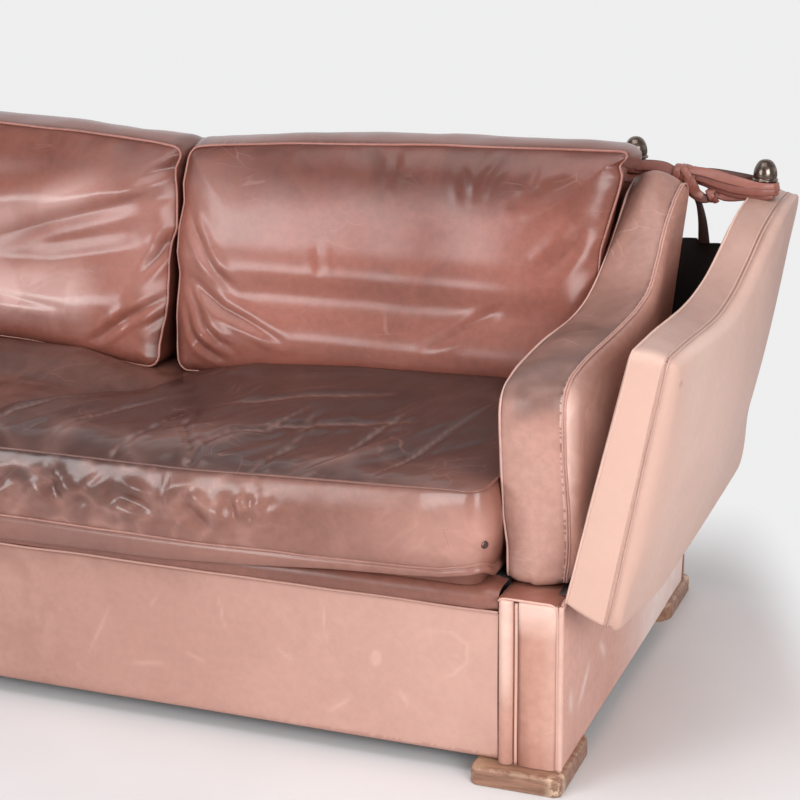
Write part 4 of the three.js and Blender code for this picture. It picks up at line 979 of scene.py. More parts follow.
def make_arm_cushion(side, leathers):
    """The loose cushion inside a wing, with a swept top and a padded border."""
    bottom, rear = 0.325, 0.712
    inner_top = [(0.098, 0.634), (0.14, 0.641), (0.192, 0.645), (0.304, 0.653), (0.429, 0.660),
                 (0.503, 0.687), (0.553, 0.724), (0.603, 0.775), (0.645, 0.818), (0.690, 0.842)]
    outer_top = [(0.098, 0.645), (0.14, 0.652), (0.194, 0.657), (0.319, 0.668), (0.421, 0.680),
                 (0.488, 0.700), (0.539, 0.737), (0.580, 0.775), (0.623, 0.809), (0.690, 0.836)]

    def sheet_of(top_points, front, m=122, n=90):
        top = spline(top_points, 120)
        start = top[0]
        loop = np.vstack([
            outline((front + 0.012, bottom), ("l", (rear - 0.01, bottom)),
                    ("q", (rear, bottom), (rear, bottom + 0.01)),
                    ("l", (rear, top[-1][1] - 0.022)),
                    ("q", (rear, top[-1][1]), tuple(top[-1]))),
            top[::-1][1:],
            outline(tuple(start), ("q", (front, start[1] - 0.006), (front, start[1] - 0.052)),
                    ("l", (front, bottom + 0.014)),
                    ("q", (front, bottom), (front + 0.012, bottom)))[1:]])
        corners = [(front + 0.003, bottom + 0.003), (rear - 0.003, bottom + 0.003),
                   (rear - 0.005, top[-1][1] - 0.005), (front + 0.011, start[1] - 0.018)]
        return patch(*split(loop[:-1], corners), m, n)

    inner = sheet_of(inner_top, 0.060)
    outer = sheet_of(outer_top, 0.060)
    seed = 120 if side > 0 else 140

    def place(flat, inside, swell):
        """Stands a flat sheet up as the cushion's inner or outer face, pushed out by swell."""
        y, z = flat[..., 0], flat[..., 1]
        thick = 0.083 + 0.020 * np.clip((z - bottom) / 0.30, 0, 1)
        splay = 0.046 * (y - 0.06) / 0.65 * np.clip((z - bottom) / 0.42, 0, 1.15)
        if inside:
            x = 0.892 + splay - thick
            x_front = np.interp(z, [0.325, 0.38, 0.43, 0.50, 0.56, 0.62],
                                [0.808, 0.808, 0.800, 0.797, 0.794, 0.794])
        else:
            x = 0.892 + splay - 0.022 * smooth(0.45, 0.68, y)
            x_front = np.interp(z, [0.325, 0.36, 0.39, 0.45, 0.53, 0.64],
                                [0.898, 0.903, 0.904, 0.902, 0.895, 0.892])
        x = x + (x_front - x) * smooth(0.34, 0.06, y)
        return xyz(x + swell, y, z)

    d_in = edge_distance(inner, rim(inner)[::2])
    d_out = edge_distance(outer, rim(outer)[::2])
    y, z = inner[..., 0], inner[..., 1]
    soft = 0.0030 * fractal(y, z, 0.12, seed, 3)
    soft = soft + 0.0030 * fractal(y + 0.4 * z, z * 0.25, 0.05, seed + 2, 2) * np.exp(-d_in / 0.06)
    inside = place(inner, 1, -0.0135 * (1 - np.exp(-d_in / 0.018)) - soft * smooth(0, 0.03, d_in))
    y, z = outer[..., 0], outer[..., 1]
    soft = 0.002 * fractal(y, z, 0.12, seed + 5, 3)
    rounded = np.sqrt(1 - (1 - np.clip(d_out / 0.034, 0, 1)) ** 2)
    puff = 0.012 + 0.006 * smooth(0.42, 0.52, z) * smooth(0.60, 0.45, y)
    outside = place(outer, 0, puff * rounded + soft * smooth(0, 0.03, d_out))
    worn_top = smooth(0.60, 0.65, inner[..., 1]) * (1 - smooth(0.45, 0.62, inner[..., 0]))
    shell = Shell()
    # The thin dark lines along the seams of both faces are painted shade.
    shell.grid(inside, dark=0.25 + 0.4 * worn_top + 0.15 * fractal(
        inner[..., 0], inner[..., 1], 0.1, seed + 6) + 0.7 * bell(d_in, 0, 0.0026))
    # Darker deeper into the gap by the wing: painted shade, with some of the patina there. The
    # front of the outer face is made paler as painted light, because the wing shades it.
    deep_in = smooth(0.12, 0.28, y) * smooth(0.80, 0.60, z) * smooth(0.0, 0.04, d_out)
    shell.grid(outside, dark=0.30 * deep_in + 0.08 * fractal(y, z, 0.12, seed + 7)
               + 0.7 * bell(d_out, 0, 0.0026), pale=smooth(0.30, 0.14, y) * smooth(0.66, 0.60, z))

    a, b = rim(inside), rim(outside)
    flat_rim = rim(inner)
    steps = 22
    s = np.linspace(0, 1, steps)[None]
    ry, rz = flat_rim[:, :1], flat_rim[:, 1:]
    at_front = smooth(0.092, 0.064, ry)
    at_bottom = smooth(bottom + 0.004, bottom + 0.001, rz)
    at_rear = smooth(rear - 0.03, rear - 0.005, ry)
    on_top = np.clip(1 - at_front - at_bottom - at_rear, 0, 1)
    w = 0.1 * s
    swell = at_front * (0.012 + 0.003 * fractal(rz, w, 0.07, seed + 8, 2))
    foot = bell(rz, bottom, 0.028) * at_front
    swell = swell + foot * 0.004 * fractal(w, rz * 0.2, 0.018, seed + 9, 2)
    swell = swell + on_top * (0.009 + 0.002 * fractal(ry, w, 0.09, seed + 10, 2))
    swell = swell + on_top * 0.018 * smooth(0.58, 0.675, ry)
    folds = fractal(w * 0.8 + 0.5 * ry, ry * 0.3, 0.03, seed + 11, 2)
    swell = swell + on_top * smooth(0.38, 0.5, ry) * 0.0025 * folds
    blotch = fractal(ry, w, 0.06, seed + 12, 3)
    worn = on_top * smooth(0.56, 0.30, ry) * (0.66 + 0.16 * blotch)
    worn = worn + on_top * smooth(0.34, 0.54, ry) * 0.36
    drip = at_front * smooth(0.545, 0.63, rz + 0.04 * fractal(w, rz, 0.05, seed + 13, 2))
    mottle = at_front * np.clip(0.25 * fractal(rz, w, 0.06, seed + 14, 3), 0, 1)
    # Dark lines at both seams of the border, and a dark spot at the front's bottom outer corner:
    # painted shade.
    lines = 0.8 * (bell(s, 0, 0.03) + bell(s, 1, 0.03))
    corner_shade = at_front * bell(rz, bottom, 0.008) * bell(s, 0.93, 0.05)
    strip = border(a, b, np.clip(swell, -0.01, 0.045), steps)
    strip[..., 2] = np.maximum(strip[..., 2], bottom - 0.006)
    shell.grid(strip, closed=True, dark=worn + 0.6 * drip + mottle + 0.06 + lines + corner_shade,
               pale=at_front * 0.08 * smooth(0.6, 0.5, rz))
    word = hand(side)
    shell.build(f"arm_cushion_{word}_cover", leathers["arm"], "sofa", "pale_leather",
                cad=[f"arm_cushion_{word}"], side=side, fill=0.65)
    trim = Shell()
    piping(trim, seam_loop(a), 0.0023, True, 0.0026, seed + 20, pale=0.3)
    piping(trim, seam_loop(b), 0.0020, True, 0.0014, seed + 21, pale=0.1)
    piping(trim, seam_loop(b + [0.0040, 0.001, 0.0]), 0.0020, True, 0.0014, seed + 21, pale=0.1)
    trim.build(f"arm_cushion_{word}_piping", leathers["arm"], "sofa", "pale_leather", side=side)


# Wings.

def lean_out(points):
    """From the wing's own w (outwards), u (back) and v (up the wing) to the sofa's frame."""
    w, u, v = points[..., 0], points[..., 1], points[..., 2]
    c, s = math.cos(LEAN), math.sin(LEAN)
    return xyz(HINGE[0] + w * c + v * s, u, HINGE[1] - w * s + v * c)


def wing_sheet(top_points, foot, m, n):
    """A flat sheet under a swept top line, whose lower edge is foot(u)."""
    top = spline(top_points, 140)
    start, end = top[0], top[-1]
    rear = WING_DEPTH - 0.001
    low = np.linspace(0, rear, 60)
    floor_line = np.column_stack([low, foot(low)])
    loop = np.vstack([
        floor_line,
        outline(tuple(floor_line[-1]), ("l", (rear, end[1] - 0.046)),
                ("q", (rear, end[1]), tuple(end)))[1:],
        top[::-1][1:],
        outline(tuple(start), ("q", (0, start[1]), (0, start[1] - 0.014)),
                ("l", tuple(floor_line[0])))[1:]])
    corners = [floor_line[0], floor_line[-1], (rear - 0.010, end[1] - 0.010),
               (0.003, start[1] - 0.003)]
    return patch(*split(loop[:-1], corners), m, n)


def make_wing(side, leathers):
    """A padded wing: inner face, fat outer face that rolls under, border and double piping."""
    word = hand(side)
    body = f"arm_{word}"
    seed = 160 if side > 0 else 190
    inner_top = [(0.012, 0.420), (0.08, 0.418), (0.150, 0.414), (0.25, 0.405), (0.337, 0.399),
                 (0.42, 0.402), (0.500, 0.417), (0.564, 0.447), (0.616, 0.480), (0.67, 0.497),
                 (0.743, 0.507), (0.815, 0.509)]
    outer_top = [(0.012, 0.424), (0.08, 0.420), (0.153, 0.414), (0.27, 0.402), (0.37, 0.396),
                 (0.44, 0.402), (0.500, 0.418), (0.560, 0.447), (0.612, 0.480), (0.67, 0.499),
                 (0.743, 0.509), (0.812, 0.511)]
    m, n = 132, 92

    def seam(u):
        """Where the outer face starts to turn under, which sags in the middle."""
        return -0.012 - 0.008 * np.sin(np.pi * np.clip(np.asarray(u) / 0.86, 0, 1))

    inner = wing_sheet(inner_top, lambda u: np.full_like(u, 0.004), m, n)
    outer = wing_sheet(outer_top, seam, m, n)
    d_in = edge_distance(inner, rim(inner)[::2])
    d_out = edge_distance(outer, rim(outer)[::2])
    u, v = inner[..., 0], inner[..., 1]
    pad = 0.0065 * (1 - np.exp(-d_in / 0.010)) + 0.0008 * fractal(u, v, 0.2, seed, 2)
    inside = xyz(-0.0002 - pad * smooth(0.05, 0.16, v), u, v)
    u, v = outer[..., 0], outer[..., 1]
    edge = 0.068 - 0.016 * np.clip(v / 0.42, 0, 1)
    across_u = np.sin(np.pi * spread(m))[:, None]
    across_v = np.sin(np.pi * spread(n))[None]
    puff = 0.022 * (1 - np.exp(-d_out / 0.009)) + 0.034 * np.clip(across_u * across_v, 0, 1) ** 0.7
    puff = puff + 0.0012 * fractal(u, v, 0.25, seed + 2, 2) * smooth(0, 0.05, d_out)
    low = v - seam(u)
    ends = 1 - np.exp(-np.minimum(u, WING_DEPTH - 0.001 - u) / 0.012)
    turned, flat_from = 0.063, 0.13
    angle = np.pi * np.clip(low / turned, 0, 1)
    share = smooth(flat_from, turned, low)
    roll_v = seam(u) + np.clip((low - turned) / (flat_from - turned), 0, 1) * flat_from
    roll_v = roll_v - 0.019 * np.sin(angle)
    hang = np.where(low < flat_from, roll_v - v, 0.0)
    fat = 0.011 + 0.009 * smooth(0.0, 0.25, u)
    wide = puff + share * ends * (fat * (1 - np.cos(angle)) - puff)
    under_top = np.interp(u, *spline(outer_top, 80).T) - v
    rise = bell(d_out, 0.014, 0.010) * smooth(0.10, 0.06, under_top)
    rise = rise * (0.003 + 0.012 * smooth(0.6, 0.75, u))
    outside = xyz(edge + wide, u, v + hang * ends + rise)
    shell = Shell()
    # The thin dark lines along the seams are painted shade.
    shell.grid(lean_out(inside), dark=0.28 + 0.1 * fractal(inner[..., 0], inner[..., 1], 0.2, seed)
               + 0.7 * bell(d_in, 0, 0.0026))
    # A small hole in the leather is drawn only as a dark dot: painted shade in the hole.
    hole = np.hypot(u - 0.028, v - 0.386)
    dark = 0.08 + 0.08 * fractal(u, v, 0.3, seed + 3) + 0.35 * smooth(0.15, 0.75, u) * smooth(
        0.0, 0.35, v) + smooth(0.008, 0.004, hole) + 0.6 * bell(d_out, 0, 0.0026)
    # Darker where the outer face rolls under at the front: painted shade.
    dark = dark + 0.25 * smooth(0.10, 0.02, low) * smooth(0.0, 0.15, u)
    shell.grid(lean_out(outside), dark=dark, pale=0.75 * smooth(0.14, 0.0, u))
    a, b = rim(inside), rim(xyz(edge, u, v))
    steps = 16
    s = np.linspace(0, 1, steps)[None]
    ru, rv = a[:, 1:2], a[:, 2:3]
    swell = 0.0035 + 0.0010 * fractal(ru + rv, 0.06 * s, 0.12, seed + 4, 2)
    strip = border(a, b, swell, steps)
    high = smooth(0.37, 0.40, rv)
    patina = 0.42 + 0.10 * fractal(ru, 0.06 * s, 0.2, seed + 8, 2)
    tone = high * (patina * smooth(0.0, 0.04, ru) + 0.15) + 0.03
    # Dark lines at both seams: painted shade.
    tone = tone + 0.8 * (bell(s, 0, 0.035) + bell(s, 1, 0.035))
    at_front = smooth(0.03, 0.005, ru) * smooth(0.43, 0.40, rv)
    shell.grid(lean_out(strip), closed=True, dark=tone, pale=at_front * 0.75)
    cad = [f"wing_pad_{word}", f"wing_inside_panel_{word}"]
    shell.build(f"wing_{word}_cover", leathers["wing"], body, "pale_leather", cad=cad,
                side=side, fill=0.7)
    trim = Shell()
    inside_rim = a + [0.001, 0, 0]
    piping(trim, lean_out(seam_loop(inside_rim)), 0.0022, True, 0.0010, seed + 5, pale=0.2)
    first, second = b - [0.0024, 0, 0], b + [0.0036, 0, 0]
    piping(trim, lean_out(seam_loop(first)), 0.0018, True, 0.0006, seed + 6, pale=0.0, dark=0.45)
    piping(trim, lean_out(seam_loop(second)), 0.0018, True, 0.0006, seed + 7, pale=0.0, dark=0.45)
    trim.build(f"wing_{word}_piping", leathers["wing"], body, "pale_leather", side=side)


# Base.

def make_front(leathers):
    """The front panel with its scuffs, its welted upper seam, and the deck's padded lip."""
    x = np.linspace(-0.8094, 0.8094, 320)[:, None]
    s = np.linspace(0, 1, 54)[None]
    turn, top = 0.008, SEAM_Z - 0.003
    z = FLOOR_GAP + turn + (top - FLOOR_GAP - turn) * s
    t = (z - FLOOR_GAP) / (top - FLOOR_GAP)
    bulge = 0.0035 * np.sin(np.pi * np.clip(t, 0, 1)) ** 0.6
    bulge = bulge + 0.0012 * fractal(x, z, 0.30, 201, 2)
    bulge = bulge + 0.0007 * fractal(x, z * 0.3, 0.05, 203, 2) * smooth(0.8, 1, t)
    y = PANEL_FACE - bulge
    marks = np.zeros_like(y)
    for path, width in (
            ([(0.689, 0.239), (0.735, 0.240), (0.760, 0.225), (0.760, 0.195), (0.735, 0.170),
              (0.713, 0.157)], .0035),
            ([(0.326, 0.246), (0.338, 0.191)], .003), ([(0.511, 0.269), (0.52, 0.19)], .003),
            ([(0.076, 0.104), (0.10, 0.15), (0.124, 0.199)], .0035),
            ([(0.262, 0.136), (0.30, 0.124)], .004), ([(0.43, 0.17), (0.46, 0.15)], .003),
            ([(0.645, 0.128), (0.66, 0.10)], .004), ([(0.56, 0.10), (0.52, 0.07)], .005),
            ([(0.20, 0.21), (0.215, 0.23)], .003), ([(-0.2, 0.2), (-0.22, 0.14)], .004),
            ([(-0.5, 0.12), (-0.46, 0.1)], .005), ([(0.16, 0.10), (0.22, 0.11)], .005)):
        marks += 0.27 * line_mark(x, z, path, 0.8 * width)
    spot = np.hypot((x - 0.605) / 0.011, (z - 0.178) / 0.018)
    marks += 0.35 * smooth(1.1, 0.6, spot + 0.2 * fractal(x, z, 0.01, 9))
    smudge = np.clip(fractal(x, z, 0.05, 207, 3) * 1.2 - 0.25, 0, 1)
    # Paler towards the right end: painted light, added to the scuff marks.
    marks += 0.40 * smooth(0.15, 0.75, x)
    marks += 0.12 * smudge * smooth(0.3, 0.6, fractal(x, z, 0.2, 208, 2) + 0.5)
    # The thin dark line at the top seam is painted shade, and so is the darkening towards the left
    # end.
    dark = 0.14 * smooth(0.75, 1.0, t) + 0.20 * smooth(0.12, 0.0, t) + 0.6 * bell(t, 1, 0.012)
    dark = dark + 0.12 * fractal(x, z, 0.3, 209, 2) + 0.40 * smooth(0.6, -0.2, x)
    shell = Shell().grid(xyz(x, y, z), dark=dark, pale=marks)
    angle = np.linspace(0, np.pi / 2, 6)[None]
    roll = xyz(x, PANEL_FACE - bulge[:, :1] + turn * (1 - np.cos(angle)),
               FLOOR_GAP + turn - turn * np.sin(angle))
    shell.grid(roll, dark=dark[:, :1])
    under = xyz(x, PANEL_FACE + turn + 0.004 * angle, FLOOR_GAP)
    shell.grid(under, dark=0.4)
    shell.build("front_panel_cover", leathers["base"], "sofa", "pale_leather",
                cad=["front_panel"])
    trim = Shell()
    line = np.column_stack([x[:, 0], np.full(len(x), 0.0078), np.full(len(x), SEAM_Z - 0.0005)])
    piping(trim, line, 0.0021, False, 0.0014, 211, pale=0.15)
    trim.build("front_panel_piping", leathers["base"], "sofa", "pale_leather")

    section = outline((0.0085, SEAM_Z + 0.001), ("q", (0.0015, SEAM_Z + 0.006), (0.002, 0.300)),
                      ("c", (0.003, 0.316), (0.014, 0.324), (0.034, 0.3242)),
                      ("l", (0.066, 0.3238)))
    ahead, up = resample(section, 24).T
    lip_half = 0.8085
    x = np.linspace(-lip_half, lip_half, 200)[:, None]
    ends = smooth(lip_half, 0.780, np.abs(x))
    wave = fractal(x, up * 2, 0.16, 214, 3)
    y = ahead - 0.0015 * wave + 0.006 * (1 - ends)
    high = SEAM_Z + (up - SEAM_Z) * (0.88 + 0.12 * ends) + 0.001 * wave
    lip = xyz(x, y, high)
    lip[..., 2] = np.minimum(lip[..., 2], LIP_TOP + 0.0015)
    Shell().grid(lip, dark=0.25 + 0.2 * wave).build(
        "deck_lip_cover", leathers["lip"], "sofa", "leather", cad=["deck_front_lip"])


def make_arm_base(side, leathers):
    """The fixed block under an arm: facing with its padded roll, top cap and side panel."""
    word = hand(side)
    seed = 220 if side > 0 else 240
    top, corner = ARM_BASE_TOP, 0.006
    brow = top - 0.0045
    climb = np.concatenate([np.linspace(0, 1, 40), 1 + np.linspace(0, 1, 9)[1:]])[None]
    z_flat = FLOOR_GAP + (brow - corner - FLOOR_GAP) * np.clip(climb, 0, 1)
    angle = np.clip(climb - 1, 0, 1) * np.pi / 2
    shell, trim = Shell(), Shell()
    for x0, x1, swell, setback in ((0.8102, 0.8358, 0.0095, 0.0085),
                                   (0.8438, 0.9065, 0.0030, 0.0042)):
        t = np.linspace(0, 1, 30)[:, None]
        x = x0 + (x1 - x0) * t
        roll = x0 < 0.83
        out = swell * np.sin(np.pi * t) ** 0.6
        y = setback - out + 0.0006 * fractal(x, z_flat, 0.08, seed, 2)
        y = y + corner * (1 - np.cos(angle))
        z = z_flat + corner * np.sin(angle)
        tone = 0.25 * bell(z, 0.05, 0.03) + 0.12 * fractal(x, z, 0.06, seed + 1, 3)
        # Dark lines at both edges, by the groove and the piping: painted shade.
        tone = tone + 0.7 * (bell(t, 0, 0.05) + bell(t, 1, 0.05))
        if roll:
            # Paler along the roll's crown: painted highlight.
            glow = 0.7 * smooth(0.10, 0.2, z) * np.sin(np.pi * t) ** 0.5
        else:
            # Darker on the panel's left part, beside the roll: painted shade. Paler near its top
            # and towards its right side: painted light.
            tone = tone + 0.45 * smooth(0.55, 0.02, t) * smooth(0.30, 0.24, z)
            glow = 0.55 * smooth(0.24, 0.30, z) + 0.15 * smooth(0.5, 0.9, t)
        shell.grid(xyz(x, y, z), dark=tone + 0.05, pale=glow)
    # The groove between the roll and the panel is painted dark: painted shade.
    gap = np.linspace(0.8350, 0.8446, 6)[:, None]
    shell.grid(xyz(gap, 0.0075 + corner * (1 - np.cos(angle)),
                   z_flat + corner * np.sin(angle) - 0.003 * (climb > 1)), dark=0.7)
    groove = np.column_stack([np.full(40, 0.8398), np.full(40, 0.0056),
                              np.linspace(FLOOR_GAP, brow - 0.004, 40)])
    piping(trim, groove, 0.0027, False, 0.0005, seed + 2, pale=0.35)
    edge_roll = spline([(0.9120, 0.0050, FLOOR_GAP), (0.9120, 0.0050, 0.12),
                        (0.9120, 0.0050, 0.22), (0.9120, 0.0050, brow - 0.012),
                        (0.9115, 0.0090, brow - 0.004), (0.9110, 0.0300, brow - 0.001)], 60)
    piping(trim, edge_roll, 0.0048, False, 0.0005, seed + 3, pale=0.4)
    across = outline((0.8112, top - 0.0075), ("q", (0.8125, top - 0.0030), (0.8240, top - 0.0026)),
                     ("l", (0.8930, top - 0.0034)),
                     ("q", (0.9050, top - 0.0040), (0.9070, top - 0.0160)),
                     ("l", (0.9076, FLOOR_GAP)))
    across = resample(across, 90)
    across = np.column_stack([across[:, 0], np.full(90, 0.0038), across[:, 1]])
    piping(trim, across, 0.0019, False, 0.0007, seed + 4, pale=0.35)
    cap = np.linspace(0, 1, 20)[:, None]
    run = np.linspace(0, 1, 60)[None]
    x = 0.8102 + (0.9140 - 0.8102) * cap
    y = 0.0045 + (0.7150 - 0.0045) * run ** 1.6
    z = top - 0.0042 + 0.0046 * smooth(0.0, 0.03, y) * (1 - np.abs(2 * cap - 1) ** 5)
    shell.grid(xyz(x, y, z), dark=0.80 + 0.1 * np.sin(9 * cap))
    shell.build(f"arm_base_{word}_cover", leathers["facing"], "sofa", "pale_leather",
                cad=[f"arm_facing_{word}", f"arm_base_top_{word}"], side=side)
    trim.build(f"arm_base_{word}_piping", leathers["facing"], "sofa", "pale_leather", side=side)

    y = np.linspace(0.0065, 0.8275, 160)[:, None]
    s = np.linspace(0, 1, 44)[None]
    z = FLOOR_GAP + (top - FLOOR_GAP) * s
    out = 0.0022 * np.sin(np.pi * s) ** 0.7 + 0.0012 * fractal(y, z, 0.2, seed + 6, 2)
    x = HALF - 0.0012 + out * smooth(0.006, 0.03, y)
    x = x - 0.006 * np.clip((s - 0.95) / 0.05, 0, 1) ** 2
    pale = np.zeros_like(x)
    for path, width in (([(0.10, 0.10), (0.16, 0.15)], .008), ([(0.045, 0.15), (0.06, 0.11)], .009),
                        ([(0.22, 0.16), (0.26, 0.12)], .007), ([(0.4, 0.2), (0.43, 0.13)], .006)):
        pale += 0.6 * line_mark(y, z, path, width)
    # Paler towards the rear and bottom: painted sheen and light, where the wing shades the panel.
    pale = pale + 0.9 * smooth(0.30, 0.65, y) * smooth(0.30, 0.12, z)
    # Darker near the top, under the wing: painted shadow. The dark line at the front edge is
    # painted shade in the joint.
    dark = 0.10 + 0.15 * fractal(y, z, 0.15, seed + 7, 3) + 0.55 * smooth(0.72, 1.0, s)
    dark = dark + 0.8 * bell(y, 0.0065, 0.004)
    panel = Shell().grid(xyz(x, y, z), dark=dark, pale=pale)
    panel.build(f"arm_side_{word}_cover", leathers["side"], "sofa", "pale_leather",
                cad=[f"arm_side_panel_{word}"], side=side)


def make_back_frame(leathers):
    """Covers of the rear frame: the outside back with its welt, and the top."""
    shell, trim = Shell(), Shell()
    x = np.linspace(-1, 1, 130)[:, None]
    s = np.linspace(0, 1, 54)[None]
    z = FLOOR_GAP + (BACK_TOP - FLOOR_GAP) * s
    half = np.where(z < ARM_BASE_TOP, HALF - 0.001, BACK_HALF - 0.001)
    width = x * half
    y = 0.8392 + 0.0022 * np.sin(np.pi * s) ** 0.5 * (1 - x ** 8) + 0.001 * fractal(
        width, z, 0.3, 261, 2)
    shell.grid(xyz(width, y, z), dark=0.25 + 0.2 * fractal(width, z, 0.3, 262, 3),
               pale=0.14 * ridged(width, z, 0.2, 263, 3))
    shell.build("outside_back_cover", leathers["outback"], "sofa", "leather",
                cad=["outside_back_panel"])
    top = Shell()
    run = np.linspace(-BACK_HALF + 0.0005, BACK_HALF - 0.0005, 160)[:, None]
    t = np.linspace(0, 1, 24)[None]
    round_over = 0.0105
    y = 0.7165 + 0.1230 * t
    z = BACK_TOP - round_over * np.abs(2 * t - 1) ** 6 + 0.001 * fractal(run, y, 0.1, 264, 2)
    top.grid(xyz(run, y, z), dark=0.3)
    top.build("back_top_cover", leathers["back"], "sofa", "leather", cad=["back_top_panel"])
    low_half, shoulder, brow = 0.9135, ARM_BASE_TOP - 0.002, BACK_TOP - 0.006
    edge = resample([(low_half, FLOOR_GAP), (low_half, shoulder), (BACK_HALF, shoulder),
                     (BACK_HALF, brow), (-BACK_HALF, brow), (-BACK_HALF, shoulder),
                     (-low_half, shoulder), (-low_half, FLOOR_GAP)], 700)
    line = np.column_stack([edge[:, 0], np.full(len(edge), 0.8385), edge[:, 1]])
    piping(trim, line, 0.0025, False, 0.0004, 265, pale=0.4)
    trim.build("outside_back_piping", leathers["outback"], "sofa", "leather")


# Finials, straps, feet, lining.

def finial_profile(spigot):
    """Radius and height pairs of a turned acorn, from its foot upwards."""
    points = [(0.0, -spigot), (0.0105, -spigot), (0.0105, 0.0235), (0.014, 0.0252),
              (0.0212, 0.0262), (0.0226, 0.0278), (0.0224, 0.0296), (0.0200, 0.0308),
              (0.0196, 0.0318), (0.0204, 0.0332), (0.0208, 0.0365), (0.0204, 0.0420),
              (0.0190, 0.0480), (0.0165, 0.0540), (0.0128, 0.0595), (0.0080, 0.0630),
              (0.0035, 0.0642), (0.0, 0.0645)]
    return spline(points, 52)


def make_finial(name, cad, body, foot, side, spigot, material):
    """A turned acorn that stands on foot, with a spigot down into what carries it."""
    profile = finial_profile(spigot)
    profile[:, 0] = np.maximum(profile[:, 0], 0)
    angle = np.linspace(0, 2 * np.pi, 49)
    r, h = profile[:, 0][:, None], profile[:, 1][:, None]
    rings = xyz(foot[0] + r * np.cos(angle), foot[1] + r * np.sin(angle), foot[2] + h)
    Shell().grid(rings).build(name, material, body, "bronze", cad=[cad], side=side)


def band(shell, path, face, width, thick, dark=0.0, pale=0.0, sides=12):
    """A flat strap with rounded edges along a path; its broad side looks along face."""
    path = np.asarray(path, float)
    along = np.gradient(path, axis=0)
    along /= np.linalg.norm(along, axis=1, keepdims=True)
    face = np.broadcast_to(np.asarray(face, float), path.shape)
    face = face - along * (face * along).sum(1, keepdims=True)
    face = face / np.linalg.norm(face, axis=1, keepdims=True)
    across = np.cross(along, face)
    angle = np.linspace(0, 2 * np.pi, sides + 1)
    ca, sa = np.cos(angle), np.sin(angle)
    wide = np.sign(ca) * np.abs(ca) ** 0.5
    flat = np.sign(sa) * np.abs(sa) ** 0.6
    width = np.broadcast_to(width, (len(path),))[:, None]
    rings = path[:, None] + (width / 2 * wide[None])[..., None] * across[:, None] \
        + (thick / 2 * flat)[None, :, None] * face[:, None]
    caps = [np.broadcast_to(rings[k].mean(0), rings[k].shape) for k in (0, -1)]
    # Darker along both edges: painted shade between the layers.
    seam = dark + 0.35 * bell(np.abs(wide), 1, 0.12)[None]
    shell.grid(np.concatenate([caps[:1], rings, caps[1:]]), dark=seam, pale=pale)


def wrap(shell, centre, axis, radius, width, thick, turns=1.0, advance=0.0, start=0.0,
         dark=0.0, pale=0.0):
    """A strap wound flat round an axis, moving along it by advance."""
    axis = np.array(axis, float) / np.linalg.norm(axis)
    a = np.cross(axis, [0.12, 0.93, 0.35])
    a /= np.linalg.norm(a)
    b = np.cross(axis, a)
    t = np.linspace(0, 1, int(48 * turns) + 6)
    angle = start + 2 * np.pi * turns * t
    out = np.cos(angle)[:, None] * a + np.sin(angle)[:, None] * b
    path = np.asarray(centre) + radius * out + axis * (advance * (t - 0.5))[:, None]
    band(shell, path, out, width, thick, dark, pale)


